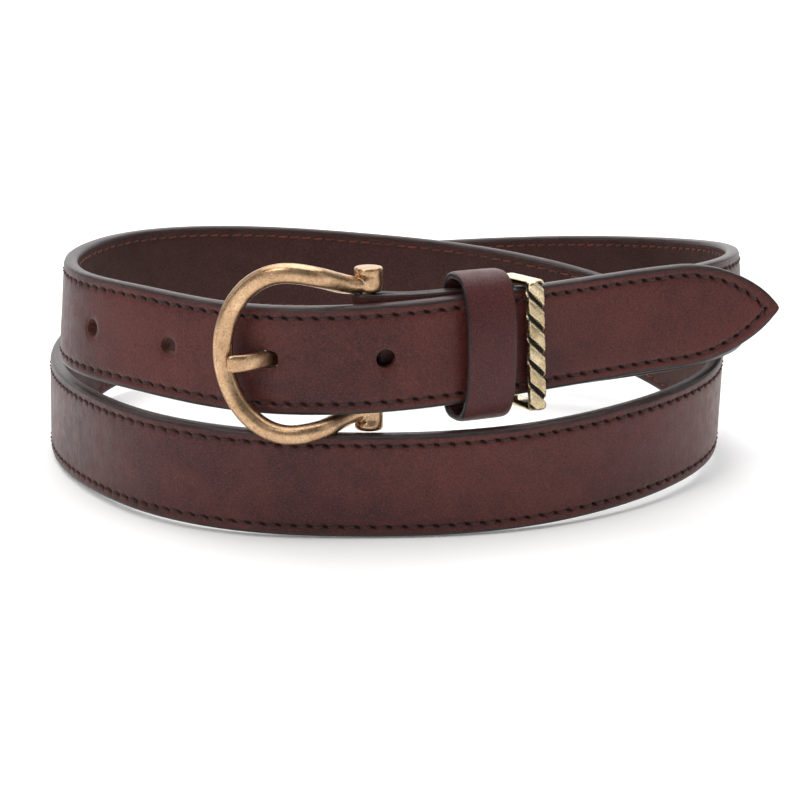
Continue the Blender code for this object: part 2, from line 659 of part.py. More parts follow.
# staple across the butted ends, legs through the leather and turned in
STAPLE_SPAN = 5.0
STAPLE_WIRE = 0.6
leg_cutters = []
for sign in (1, -1):
    p = lk_origin + lk_u * STAPLE_SPAN / 2 * sign - lk_n * (LEATHER_KEEPER_BACK - t_k / 2)
    leg_cutters.append(box_solid("leg_cutter_%d" % sign, p, lk_u, lk_t, lk_n,
                                 (STAPLE_WIRE + 0.6, STAPLE_WIRE + 0.6, 6.0)))
for cutter in leg_cutters:
    boolean(leather_keeper, cutter, "DIFFERENCE")
apply_modifiers(leather_keeper, leg_cutters)
leather_keeper.data.materials.clear()
leather_keeper.data.materials.append(bpy.data.materials["leather_keeper"])

back = LEATHER_KEEPER_BACK
w = STAPLE_WIRE / 2
staple_line = [
    (0.9, -(back - t_k - 0.3 - w)), (STAPLE_SPAN / 2 - w * 0.2, -(back - t_k - 0.3 - w)),
    (STAPLE_SPAN / 2, -(back - t_k)), (STAPLE_SPAN / 2, -(back + 0.1)),
    (STAPLE_SPAN / 2 - w * 0.2, -(back + 0.3 + w)), (0.0, -(back + 0.3 + w)),
]
staple_pts = staple_line + [(-a, d) for a, d in reversed(staple_line[:-1])]
rings = []
flat = [np.array([a, d]) for a, d in staple_pts]
for i, p in enumerate(flat):
    go = flat[min(i + 1, len(flat) - 1)] - flat[max(i - 1, 0)]
    go /= np.linalg.norm(go)
    side = np.array([go[1], -go[0]])
    centre = lk_origin + lk_u * p[0] + lk_n * p[1]
    side3 = lk_u * side[0] + lk_n * side[1]
    rings.append([centre + side3 * w + lk_t * w, centre - side3 * w + lk_t * w,
                  centre - side3 * w - lk_t * w, centre + side3 * w - lk_t * w])
keeper_staple = add_object("keeper_staple", loft(rings), "staple_steel")

# ---------------------------------------------------------------- metal keeper
s_mk = s_at_x(METAL_KEEPER_X)
mk_c, mk_t, mk_u, mk_n = frame_at(s_mk)
total = STACK + LAYER_GAP + FLAP_FACE
mk_mid = mk_c - mk_n * total / 2 - mk_u * 0.8
half_in = total / 2 + METAL_KEEPER_CLEAR
H = METAL_KEEPER_HALF_HEIGHT
P = METAL_KEEPER_PLATE
B = METAL_KEEPER_BAR_DEEP
outer = [(H - 0.9, half_in + B), (-H + 0.9, half_in + B), (-H, half_in + B - 0.9),
         (-H, -half_in - P + 0.9), (-H + 0.9, -half_in - P), (H - 0.9, -half_in - P),
         (H, -half_in - P + 0.9), (H, half_in + B - 0.9)]
inner = [(H - P - 0.5, half_in), (-H + P + 0.5, half_in), (-H + P, half_in - 0.5),
         (-H + P, -half_in + 0.5), (-H + P + 0.5, -half_in), (H - P - 0.5, -half_in),
         (H - P, -half_in + 0.5), (H - P, half_in - 0.5)]
rings = []
for (a, b), (c2, d2) in zip(outer, inner):
    o = mk_mid + mk_u * a + mk_n * b
    i = mk_mid + mk_u * c2 + mk_n * d2
    w = mk_t * METAL_KEEPER_WIDTH / 2
    rings.append([o - w, o + w, i + w, i - w])
metal_keeper = add_object("metal_keeper", loft(rings, closed_path=True), "keeper_brass")
grooves = []
slope = math.radians(METAL_GROOVE_SLOPE)
for k in range(METAL_GROOVES):
    z = (k - (METAL_GROOVES - 1) / 2) * METAL_GROOVE_PITCH
    centre = mk_mid + mk_u * z + mk_n * (half_in + B)
    run = -mk_t * math.cos(slope) - mk_u * math.sin(slope) * -1.0
    cross = np.cross(mk_n, run)
    grooves.append(box_solid("groove_cutter_%d" % k, centre, run, cross, mk_n,
                             (9.0, METAL_GROOVE_WIDTH, 2 * METAL_GROOVE_DEPTH)))
for cutter in grooves:
    boolean(metal_keeper, cutter, "DIFFERENCE")
apply_modifiers(metal_keeper, grooves)
metal_keeper.data.materials.clear()
metal_keeper.data.materials.append(bpy.data.materials["metal_keeper"])

# ------------------------------------------- place on the origin, set pivots
nodes = [strap_outer, strap_lining, face_stitching, lining_stitching, turnback_stitching,
         buckle_frame, buckle_bar, buckle_prong, leather_keeper, keeper_staple, metal_keeper]
low = np.array([1e9] * 3)
high = -low
for obj in nodes:
    co = np.empty(len(obj.data.vertices) * 3)
    obj.data.vertices.foreach_get("co", co)
    co = co.reshape(-1, 3)
    low = np.minimum(low, co.min(0))
    high = np.maximum(high, co.max(0))
shift = Vector((-(low[0] + high[0]) / 2, -(low[1] + high[1]) / 2, -low[2]))
for obj in nodes:
    for vert in obj.data.vertices:
        vert.co += shift


def set_pivot(obj, point):
    pivot = Vector([float(v) for v in point]) * MM + shift
    for vert in obj.data.vertices:
        vert.co -= pivot
    obj.location = pivot


for obj in (buckle_frame, buckle_bar):
    set_pivot(obj, axis_point)
set_pivot(buckle_prong, prong_centre)
set_pivot(leather_keeper, lk_origin)
set_pivot(keeper_staple, lk_origin)
set_pivot(metal_keeper, mk_mid)
for leftover in list(bpy.data.materials):
    if leftover.users == 0:
        bpy.data.materials.remove(leftover)
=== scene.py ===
import math
import bpy
import bmesh
import numpy as np
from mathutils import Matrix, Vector


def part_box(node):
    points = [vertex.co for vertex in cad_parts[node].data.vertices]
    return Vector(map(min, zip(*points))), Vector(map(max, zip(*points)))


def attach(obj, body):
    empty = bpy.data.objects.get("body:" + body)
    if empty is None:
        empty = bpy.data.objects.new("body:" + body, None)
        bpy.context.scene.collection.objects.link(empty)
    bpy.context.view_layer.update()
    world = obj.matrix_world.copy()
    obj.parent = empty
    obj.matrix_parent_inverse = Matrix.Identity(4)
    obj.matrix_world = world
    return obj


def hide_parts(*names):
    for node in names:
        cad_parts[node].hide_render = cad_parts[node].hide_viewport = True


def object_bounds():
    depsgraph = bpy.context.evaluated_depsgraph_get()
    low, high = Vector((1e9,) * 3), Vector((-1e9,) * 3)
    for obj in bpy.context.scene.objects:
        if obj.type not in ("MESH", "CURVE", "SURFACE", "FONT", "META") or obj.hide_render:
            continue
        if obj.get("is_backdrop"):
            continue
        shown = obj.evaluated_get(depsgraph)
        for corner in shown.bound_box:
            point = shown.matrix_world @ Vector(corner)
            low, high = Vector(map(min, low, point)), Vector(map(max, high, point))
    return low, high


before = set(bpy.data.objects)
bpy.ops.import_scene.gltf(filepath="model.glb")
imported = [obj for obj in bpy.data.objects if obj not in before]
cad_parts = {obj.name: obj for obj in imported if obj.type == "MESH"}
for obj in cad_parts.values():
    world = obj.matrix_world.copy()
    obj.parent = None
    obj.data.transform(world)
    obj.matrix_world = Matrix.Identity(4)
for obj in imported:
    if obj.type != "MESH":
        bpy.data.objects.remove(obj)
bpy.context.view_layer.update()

MM = 0.001

# ------------------------------------------------------------------ the design
# The strap's path repeats the one in the CAD: the outer face's centre line in
# plan, the height of its lower edge, and its lean, in millimetres and degrees.
STRAP_WIDTH = 25.0
GRAIN_THICK = 1.7
GLUE_GAP = 0.3
LINING_THICK = 1.6
LAYER_GAP = 0.4
STACK = GRAIN_THICK + GLUE_GAP + LINING_THICK
FLAP_FACE = GRAIN_THICK + GLUE_GAP + GRAIN_THICK
TIP_LENGTH = 27.0
BAR_X = -7.5
BAR_RADIUS = 1.4
FOLD_OUTER_RADIUS = 3.0
FOLD_THICK = 1.3
FLAP_LENGTH = 44.0
SLOT_AHEAD, SLOT_BEHIND = 5.5, 3.0
HOLE_PITCH = 27.25
HOLE_DIAMETER = 4.4
PRONG_HOLE_X = -29.9
STITCH_MARGIN = 2.6
STITCH_PITCH = 3.634
FRAME_CENTRE_Z = 44.0
PRONG_Z = 41.9
STATIONS = [
    (92.5, -22.0, 33.5, -3), (64.0, -32.5, 33.0, -3), (41.0, -44.0, 32.0, -3),
    (23.5, -54.0, 31.5, -1), (4.0, -61.5, 30.5, 0), (-18.0, -63.0, 29.5, 0),
    (-40.0, -55.5, 29.0, -2), (-61.0, -42.0, 30.0, -5), (-80.0, -21.0, 30.0, -6),
    (-86.5, 7.5, 30.0, -4), (-77.5, 36.0, 30.0, -1), (-58.0, 57.5, 28.5, 2),
    (-34.0, 70.5, 26.0, 3), (-8.0, 77.5, 23.0, 2), (19.5, 78.0, 20.0, 0),
    (47.0, 70.0, 16.0, 0), (70.5, 52.0, 11.0, 1), (83.5, 25.0, 6.0, 2),
    (81.5, -4.5, 3.5, 1.5), (68.0, -28.5, 2.5, 1), (49.5, -45.5, 1.5, 1),
    (29.5, -56.0, 0.5, 2.5), (8.5, -61.0, 0.0, 4), (-13.0, -62.0, 0.0, 4),
    (-36.5, -59.5, 0.5, 3), (-59.5, -47.5, 1.0, 1.5), (-77.0, -26.5, 1.0, -0.5),
    (-90.0, 1.5, 0.5, -2), (-95.0, 36.0, 1.0, -1), (-85.5, 73.0, 4.0, 1),
    (-58.5, 102.0, 8.0, 4), (-20.5, 115.5, 12.0, 4), (19.5, 112.5, 15.5, 3),
    (54.0, 95.5, 19.5, 0.5), (79.5, 68.0, 23.5, -2), (91.0, 34.5, 27.5, -5),
    (86.0, 1.5, 29.9, -5), (68.5, -23.0, 30.9, -4),
]
INNER_RUN = ((41.0, -1.2), (31.0, -0.9), (21.0, 0.0), (11.0, 0.9), (1.0, 1.2), (-9.0, 1.2))


def natural_spline(knots, values, at):
    knots = np.asarray(knots, float)
    values = np.asarray(values, float)
    n = len(knots)
    h = np.diff(knots)
    a = np.zeros((n, n))
    r = np.zeros_like(values)
    a[0, 0] = a[-1, -1] = 1.0
    for i in range(1, n - 1):
        a[i, i - 1], a[i, i], a[i, i + 1] = h[i - 1], 2 * (h[i - 1] + h[i]), h[i]
        r[i] = 6 * ((values[i + 1] - values[i]) / h[i] - (values[i] - values[i - 1]) / h[i - 1])
    m = np.linalg.solve(a, r)
    at = np.asarray(at, float)
    k = np.clip(np.searchsorted(knots, at) - 1, 0, n - 2)
    p, q, hk = (knots[k + 1] - at)[:, None], (at - knots[k])[:, None], h[k][:, None]
    return ((m[k] * p ** 3 + m[k + 1] * q ** 3) / (6 * hk)
            + (values[k] / hk - m[k] * hk / 6) * p + (values[k + 1] / hk - m[k + 1] * hk / 6) * q)


def smooth_curve(points, samples):
    pts = np.array(points, float)
    d = np.concatenate([[0], np.cumsum(np.linalg.norm(np.diff(pts[:, :2], axis=0), axis=1))])
    return natural_spline(d, pts, np.linspace(0, d[-1], samples))


def with_inner_run(stations):
    line = smooth_curve(stations, 4000)
    step = np.gradient(line[:, :2], axis=0)
    step /= np.linalg.norm(step, axis=1)[:, None]
    outward = np.stack([-step[:, 1], step[:, 0]], 1)
    first = len(line) // 6
    rows = list(stations)
    for x, rise in INNER_RUN:
        k = int(np.argmin(np.abs(line[:first, 0] - x)))
        p = line[k, :2] - outward[k] * (STACK + LAYER_GAP)
        rows.append((p[0], p[1], line[k, 2] + rise, line[k, 3]))
    return rows


PATH = smooth_curve(with_inner_run(STATIONS), 9000)
PATH_S = np.concatenate([[0], np.cumsum(np.linalg.norm(np.diff(PATH[:, :3], axis=0), axis=1))])
S_BAR = float(PATH_S[-3000 + int(np.argmin(np.abs(PATH[-3000:, 0] - BAR_X)))])
ease = np.clip((PATH_S - (S_BAR - 26.0)) / 16.0, 0, 1)
ease = ease * ease * (3 - 2 * ease)
PATH[:, 2] = PATH[:, 2] * (1 - ease) + (FRAME_CENTRE_Z - STRAP_WIDTH / 2) * ease
PATH[:, 3] = PATH[:, 3] * (1 - ease)
LINING_END = S_BAR - FLAP_LENGTH - 0.6


def frames_at(s):
    """Centre on the outer face, travel, width and outward directions, at many places."""
    s = np.atleast_1d(np.asarray(s, float))

    def at(v):
        return np.stack([np.interp(v, PATH_S, PATH[:, i]) for i in range(4)], 1)
    here = at(s)
    t = at(np.minimum(s + 0.5, PATH_S[-1]))[:, :3] - at(np.maximum(s - 0.5, 0))[:, :3]
    t /= np.linalg.norm(t, axis=1)[:, None]
    up = np.array([[0, 0, 1.0]]) - t * t[:, 2:3]
    up /= np.linalg.norm(up, axis=1)[:, None]
    out = np.cross(up, t)
    a = np.radians(here[:, 3:4])
    u = np.cos(a) * up + np.sin(a) * out
    n = np.cos(a) * out - np.sin(a) * up
    c = here[:, :3].copy()
    c[:, 2] += STRAP_WIDTH / 2 * np.cos(a[:, 0]) * up[:, 2]
    return c, t, u, n


def frame_at(s):
    c, t, u, n = frames_at([s])
    return c[0], t[0], u[0], n[0]


def s_at_x(x):
    m = PATH_S < 160.0
    return float(PATH_S[m][int(np.argmin(np.abs(PATH[m, 0] - x)))])


def outline(s):
    """The strap's half width, with a rounded point tangent to both sides."""
    half = STRAP_WIDTH / 2
    radius = (TIP_LENGTH ** 2 + half ** 2) / (2 * half)
    blunt = 1.9
    centre = TIP_LENGTH - math.sqrt((radius - blunt) ** 2 - (radius - half) ** 2)
    meet = TIP_LENGTH - radius * (TIP_LENGTH - centre) / (radius - blunt)
    v = s + (centre - blunt) * max(1 - s / 24.0, 0.0) ** 2 + 0.62 * (s / 5.0) * math.exp(1 - s / 5.0)
    if v < meet:
        return math.sqrt(max(blunt ** 2 - (v - centre) ** 2, 0.0))
    return half_width(v)


def half_width(s, inset=0.0):
    half = STRAP_WIDTH / 2
    if s >= TIP_LENGTH:
        return half - inset
    radius = (TIP_LENGTH ** 2 + half ** 2) / (2 * half)
    r = radius - inset
    reach = TIP_LENGTH - s
    return max(math.sqrt(max(r * r - reach * reach, 0.0)) - (radius - half), 0.0)


# The seam keeps its pitch along its own curve round the point.
APEX = 3.5
row_s = np.linspace(APEX, TIP_LENGTH, 400)
row_h = np.array([half_width(v, STITCH_MARGIN) for v in row_s])
row_len = np.concatenate([[0], np.cumsum(np.hypot(np.diff(row_s), np.diff(row_h)))])
PHASE_S = np.concatenate([[0.0], row_s, [2000.0]])
PHASE_V = np.concatenate([[(TIP_LENGTH - row_len[-1]) / STITCH_PITCH - 1.0],
                          (TIP_LENGTH - row_len[-1] + row_len) / STITCH_PITCH, [2000.0 / STITCH_PITCH]])
ROW_LEAN = np.hypot(np.gradient(row_h, row_s), 1.0)


def phase_of(s):
    return np.interp(s, PHASE_S, PHASE_V)


def place_of(phase):
    return np.interp(phase, PHASE_V, PHASE_S)


bar_c, bar_t, bar_u, bar_n = frame_at(S_BAR)
BAR_CENTRE = bar_c - bar_n * FOLD_OUTER_RADIUS
AXIS = np.array([BAR_CENTRE[0], BAR_CENTRE[1], FRAME_CENTRE_Z])
bar_low, bar_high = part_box("buckle_bar")
SHIFT = np.array([(bar_low[i] + bar_high[i]) / 2 for i in range(3)]) / MM - AXIS
S_PRONG_HOLE = s_at_x(PRONG_HOLE_X)
HOLES = [S_PRONG_HOLE + k * HOLE_PITCH for k in range(-1, 4)]
HOLE_DROP = float(frame_at(S_PRONG_HOLE)[0][2]) - PRONG_Z


# ------------------------------------------------------------------- mesh tools
def mesh_object(name, verts, faces, smooth_angle=35.0, attributes=None, uv=None):
    """verts in design millimetres; faces as an integer array or list."""
    co = (np.asarray(verts, float) + SHIFT) * MM
    mesh = bpy.data.meshes.new(name)
    mesh.from_pydata(co.tolist(), [], [list(map(int, f)) for f in faces])
    mesh.update()
    if attributes:
        for key, values in attributes.items():
            att = mesh.attributes.new(key, "FLOAT", "POINT")
            att.data.foreach_set("value", np.asarray(values, np.float32))
    if uv is not None:
        layer = mesh.uv_layers.new(name="run")
        loops = np.empty(len(mesh.loops), np.int32)
        mesh.loops.foreach_get("vertex_index", loops)
        layer.data.foreach_set("uv", np.asarray(uv, np.float32)[loops].ravel())
    obj = bpy.data.objects.new(name, mesh)
    bpy.context.scene.collection.objects.link(obj)
    outward(obj)
    if smooth_angle:
        mesh.polygons.foreach_set("use_smooth", [True] * len(mesh.polygons))
        mesh.set_sharp_from_angle(angle=math.radians(smooth_angle))
    return obj


def outward(obj):
    bm = bmesh.new()
    bm.from_mesh(obj.data)
    bmesh.ops.recalc_face_normals(bm, faces=bm.faces[:])
    bm.to_mesh(obj.data)
    bm.free()


def skin(rings, closed_path=False, caps=True):
    """Rings (count, n, 3) to verts and faces."""
    rings = np.asarray(rings, float)
    count, n = rings.shape[:2]
    idx = np.arange(count * n).reshape(count, n)
    a = idx if closed_path else idx[:-1]
    b = np.roll(idx, -1, 0) if closed_path else idx[1:]
    faces = np.stack([a, np.roll(a, -1, 1), np.roll(b, -1, 1), b], -1).reshape(-1, 4)
    faces = [tuple(f) for f in faces]
    if caps and not closed_path:
        faces.append(tuple(reversed(idx[0])))
        faces.append(tuple(idx[-1]))
    return rings.reshape(-1, 3), faces


def evaluated(obj):
    depsgraph = bpy.context.evaluated_depsgraph_get()
    done = bpy.data.meshes.new_from_object(obj.evaluated_get(depsgraph), depsgraph=depsgraph,
                                           preserve_all_data_layers=True)
    obj.modifiers.clear()
    old = obj.data
    obj.data = done
    name = old.name
    bpy.data.meshes.remove(old)
    done.name = name


def enlarge(obj, k):
    co = np.empty(len(obj.data.vertices) * 3)
    obj.data.vertices.foreach_get("co", co)
    obj.data.vertices.foreach_set("co", co * k)
    obj.data.update()


def cut(obj, cutters, operation="DIFFERENCE", solver="MANIFOLD"):
    """Booleans at a scale of one unit to the millimetre, where their tolerances are small enough."""
    for piece in [obj] + list(cutters):
        enlarge(piece, 1000.0)
    for c in cutters:
        mod = obj.modifiers.new("cut_" + c.name, "BOOLEAN")
        mod.operation = operation
        mod.solver = solver
        if solver == "EXACT":
            mod.material_mode = "INDEX"
        mod.object = c
    evaluated(obj)
    enlarge(obj, 0.001)
    for c in cutters:
        bpy.data.objects.remove(c, do_unlink=True)


def signed_power(v, p):
    return np.sign(v) * np.abs(v) ** p


def hash_noise(p, scale, seed=0.0):
    """Cheap smooth deterministic noise on points, about -1 to 1."""
    q = np.asarray(p, float) * scale
    a = np.sin(q[..., 0] * 1.7 + seed) * np.cos(q[..., 1] * 2.3 - seed * 1.3)
    b = np.sin(q[..., 1] * 3.1 + q[..., 2] * 1.9 + seed * 0.7) * np.cos(q[..., 0] * 2.9 + q[..., 2])
    c = np.sin(q[..., 2] * 4.3 - q[..., 0] * 3.7 + seed * 2.1)
    return (a + b + 0.6 * c) / 2.2


# -------------------------------------------------------------------- materials
class Nodes:
    """Small helper to write a node material."""

    def __init__(self, name):
        self.mat = bpy.data.materials.new(name)
        self.mat.use_nodes = True
        self.tree = self.mat.node_tree
        self.shader = self.tree.nodes["Principled BSDF"]

    def new(self, kind, **settings):
        node = self.tree.nodes.new(kind)
        for key, value in settings.items():
            setattr(node, key, value)
        return node

    def link(self, a, b):
        self.tree.links.new(a, b)

    def coords(self, kind="Object"):
        return self.new("ShaderNodeTexCoord").outputs[kind]

    def attribute(self, name):
        node = self.new("ShaderNodeAttribute", attribute_name=name)
        return node.outputs["Fac"]

    def mapping(self, vector, scale, rotation=(0, 0, 0)):
        node = self.new("ShaderNodeMapping")
        node.inputs["Scale"].default_value = scale
        node.inputs["Rotation"].default_value = rotation
        self.link(vector, node.inputs["Vector"])
        return node.outputs["Vector"]

    def noise(self, vector, scale, detail=3.0, rough=0.5, distortion=0.0):
        node = self.new("ShaderNodeTexNoise")
        node.inputs["Scale"].default_value = scale
        node.inputs["Detail"].default_value = detail
        node.inputs["Roughness"].default_value = rough
        node.inputs["Distortion"].default_value = distortion
        self.link(vector, node.inputs["Vector"])
        return node.outputs["Fac"]

    def voronoi(self, vector, scale, feature="F1", smooth=None, randomness=1.0):
        node = self.new("ShaderNodeTexVoronoi", feature=feature)
        node.inputs["Scale"].default_value = scale
        node.inputs["Randomness"].default_value = randomness
        if smooth is not None and "Smoothness" in node.inputs:
            node.inputs["Smoothness"].default_value = smooth
        self.link(vector, node.inputs["Vector"])
        return node.outputs["Distance"]

    def wave(self, vector, scale, distortion=0.0, detail=2.0, direction="X"):
        node = self.new("ShaderNodeTexWave", bands_direction=direction)
        node.inputs["Scale"].default_value = scale
        node.inputs["Distortion"].default_value = distortion
        node.inputs["Detail"].default_value = detail
        self.link(vector, node.inputs["Vector"])
        return node.outputs["Fac"]

    def ramp(self, value, stops, interpolation="LINEAR"):
        node = self.new("ShaderNodeValToRGB")
        node.color_ramp.interpolation = interpolation
        els = node.color_ramp.elements
        while len(els) < len(stops):
            els.new(0.5)
        for el, (pos, colour) in zip(els, stops):
            el.position = pos
            el.color = colour if len(colour) == 4 else (*colour, 1.0)
        self.link(value, node.inputs["Fac"])
        return node.outputs["Color"]

    def span(self, value, a, b, c=0.0, d=1.0, smooth=False):
        node = self.new("ShaderNodeMapRange")
        if smooth:
            node.interpolation_type = "SMOOTHSTEP"
        for key, v in zip(("From Min", "From Max", "To Min", "To Max"), (a, b, c, d)):
            node.inputs[key].default_value = v
        self.link(value, node.inputs["Value"])
        return node.outputs["Result"]

    def math(self, op, a, b=None, clamp=False):
        node = self.new("ShaderNodeMath", operation=op, use_clamp=clamp)
        for slot, v in zip(node.inputs, (a, b)):
            if v is None:
                continue
            if isinstance(v, (int, float)):
                slot.default_value = v
            else:
                self.link(v, slot)
        return node.outputs[0]

    def mix(self, factor, a, b, blend="MIX"):
        node = self.new("ShaderNodeMix", data_type="RGBA", blend_type=blend)
        ins = [s for s in node.inputs if s.enabled]
        for key, v in (("Factor", factor), ("A", a), ("B", b)):
            sock = next(s for s in ins if s.name == key)
            if isinstance(v, tuple):
                sock.default_value = v if len(v) == 4 else (*v, 1.0)
            elif isinstance(v, (int, float)):
                sock.default_value = v if key == "Factor" else (v, v, v, 1.0)
            else:
                self.link(v, sock)
        return next(s for s in node.outputs if s.enabled)

    def bump(self, height, strength, distance, normal=None):
        node = self.new("ShaderNodeBump")
        node.inputs["Strength"].default_value = strength
        node.inputs["Distance"].default_value = distance
        self.link(height, node.inputs["Height"])
        if normal is not None:
            self.link(normal, node.inputs["Normal"])
        return node.outputs["Normal"]

    def set(self, **values):
        for key, v in values.items():
            sock = self.shader.inputs[key.replace("_", " ")]
            if isinstance(v, tuple):
                sock.default_value = v if len(v) == len(sock.default_value) else (*v, 1.0)
            elif isinstance(v, (int, float)):
                sock.default_value = v
            else:
                self.link(v, sock)


def srgb(r, g, b):
    out = []
    for v in (r, g, b):
        v /= 255.0
        out.append(v / 12.92 if v <= 0.04045 else ((v + 0.055) / 1.055) ** 2.4)
    return tuple(out)


def leather_material(name, dark, light, warm, edge_mask=None, slit_shade_mask=None, grain=1.0,
                     rough=(0.42, 0.56), paint=None, sheen=0.0, crease=True):
    """Vegetable-tanned leather: mottled dye, fine grain, faint creases, painted edge, and painted shade in the needle
    slits where a mask is given.
    """
    m = Nodes(name)
    obj = m.coords("Object")
    uv = m.coords("UV")
    mottle = m.noise(obj, 130.0, 6.0, 0.62)
    speck = m.noise(obj, 2600.0, 4.0, 0.75)
    fine = m.noise(obj, 2600.0, 2.0, 0.6)
    cloud = m.noise(obj, 16.0, 2.0, 0.5)
    colour = m.ramp(m.span(mottle, 0.3, 0.7), [(0.0, dark), (1.0, light)])
    colour = m.mix(m.span(cloud, 0.42, 0.72, 0.0, 0.75, True), colour, warm)
    shade = m.noise(m.mapping(obj, (1.0, 1.0, 1.0), (0, 0, 0)), 34.0, 3.0, 0.55)
    colour = m.mix(m.span(shade, 0.52, 0.34, 0.0, 0.42, True), colour, tuple(c * 0.62 for c in dark))
    tint = (min(1.0, light[0] * 2.0), light[1] * 1.75, light[2] * 1.45)
    colour = m.mix(m.span(speck, 0.50, 0.68, 0.0, 0.72), colour, tint)
    colour = m.mix(m.span(speck, 0.48, 0.30, 0.0, 0.80), colour, tuple(c * 0.35 for c in dark))
    warp = m.mix(0.0035, obj, m.new("ShaderNodeTexNoise").outputs["Color"], "ADD")
    crackle = m.voronoi(warp, 760.0, "DISTANCE_TO_EDGE")
    patch = m.span(m.noise(obj, 28.0, 2.0, 0.5), 0.40, 0.65, 0.15, 1.0, True)
    crack = m.math("MULTIPLY", m.span(crackle, 0.08, 0.0, 0.0, 0.34 if crease else 0.0, True), patch)
    colour = m.mix(crack, colour, tint)
    # grain: small pebbles with pores between them
    pebbles = m.voronoi(obj, 1350.0, "SMOOTH_F1", 0.6)
    pores = m.voronoi(obj, 620.0, "F1")
    height = m.math("ADD", m.math("MULTIPLY", pebbles, -0.8), m.math("MULTIPLY", fine, 0.5))
    pore = m.span(pores, 0.10, 0.24, -0.6, 0.0, True)
    height = m.math("ADD", height, pore)
    normal = m.bump(height, 0.30 * grain, 0.00012)
    if crease:
        lines = m.noise(m.mapping(uv, (1.0, 0.10, 1.0)), 420.0, 3.0, 0.55, 0.4)
        swell = m.noise(m.mapping(uv, (1.0, 0.35, 1.0)), 60.0, 2.0, 0.5)
        waves = m.math("ADD", m.span(lines, 0.38, 0.62, 0.0, 1.0), m.math("MULTIPLY", swell, 2.0))
        normal = m.bump(waves, 0.13, 0.00018, normal)
    roughness = m.span(m.noise(obj, 300.0, 4.0, 0.6), 0.3, 0.7, rough[0], rough[1])
    # painted shade: the mask paints the needle slits of the stitch channel near-black, in place of the shade inside the
    # holes
    if slit_shade_mask:
        slit_shade = m.attribute(slit_shade_mask)
        colour = m.mix(m.span(slit_shade, 0.15, 0.9, 0.0, 0.92, True), colour, (0.004, 0.0025, 0.002))
        roughness = m.math("ADD", roughness, m.math("MULTIPLY", slit_shade, 0.3))
    if edge_mask:
        raw = m.attribute(edge_mask)
        wobble = m.math("MULTIPLY", m.math("SUBTRACT", m.noise(obj, 700.0, 2.0, 0.5), 0.5), 0.35)
        mask = m.span(m.math("ADD", raw, wobble), 0.42, 0.62, 0.0, 1.0, True)
        streak = m.noise(m.mapping(uv, (0.05, 1.0, 1.0)), 2600.0, 4.0, 0.65, 0.6)
        blotch = m.noise(obj, 420.0, 3.0, 0.6)
        ink = m.ramp(m.span(streak, 0.34, 0.66), [(0.0, tuple(c * 0.50 for c in paint)), (1.0, tuple(c * 1.35 for c in paint))])
        ink = m.mix(m.span(blotch, 0.55, 0.75, 0.0, 0.45), ink, tuple(c * 1.8 for c in paint))
        colour = m.mix(mask, colour, ink)
        roughness = m.mix(mask, roughness, 0.36)
        normal = m.bump(m.math("MULTIPLY", m.math("MULTIPLY", streak, mask), 1.0), 0.60, 0.00016, normal)
    m.set(Base_Color=colour, Roughness=roughness, Normal=normal)
    m.shader.inputs["Specular IOR Level"].default_value = 0.25
    m.shader.inputs["Coat Weight"].default_value = 0.03
    m.shader.inputs["Coat Roughness"].default_value = 0.35
    m.shader.inputs["Sheen Weight"].default_value = sheen
    m.shader.inputs["Sheen Roughness"].default_value = 0.45
    m.shader.inputs["Sheen Tint"].default_value = (0.80, 0.68, 0.66, 1.0)
    return m.mat


def antique_brass(name, bright, mid, dark, groove_shade=None, plain=None, rough=(0.20, 0.40)):
    """Plated brass, darkened in its hollows and rubbed bright on its ridges, with painted shade in its grooves where a
    groove mask is given.
    """
    m = Nodes(name)
    obj = m.coords("Object")
    geo = m.new("ShaderNodeNewGeometry")
    cloud = m.noise(obj, 160.0, 4.0, 0.6)
    speck = m.noise(obj, 2300.0, 4.0, 0.78)
    film = m.noise(obj, 620.0, 4.0, 0.65)
    colour = m.ramp(m.span(cloud, 0.30, 0.70), [(0.0, mid), (1.0, bright)])
    colour = m.mix(m.span(film, 0.50, 0.75, 0.0, 0.30), colour, dark)
    colour = m.mix(m.span(speck, 0.50, 0.68, 0.0, 0.62), colour, dark)
    ridge = m.span(geo.outputs["Pointiness"], 0.51, 0.56, 0.0, 0.6, True)
    colour = m.mix(ridge, colour, tuple(min(1.0, c * 1.12) for c in bright))
    hollow = m.span(geo.outputs["Pointiness"], 0.490, 0.43, 0.0, 0.95, True)
    colour = m.mix(hollow, colour, tuple(c * 0.20 for c in dark))
    roughness = m.span(m.noise(obj, 1100.0, 3.0, 0.6), 0.3, 0.7, rough[0], rough[1])
    normal = m.bump(m.noise(obj, 3200.0, 3.0, 0.6), 0.12, 0.00004)
    if plain:
        flat = m.attribute(plain)
        colour = m.mix(m.math("MULTIPLY", flat, 0.85), colour, bright)
        roughness = m.mix(flat, roughness, 0.16)
    # painted shade: the mask paints the groove bottoms near-black and less metallic, where shade falls
    if groove_shade:
        shade = m.span(m.attribute(groove_shade), 0.15, 0.75, 0.0, 1.0, True)
        colour = m.mix(shade, colour, (0.006, 0.005, 0.004))
        roughness = m.math("ADD", roughness, m.math("MULTIPLY", shade, 0.35))
        m.link(m.span(shade, 0.0, 1.0, 1.0, 0.35), m.shader.inputs["Metallic"])
    else:
        m.shader.inputs["Metallic"].default_value = 1.0
    m.set(Base_Color=colour, Roughness=roughness, Normal=normal)
    return m.mat


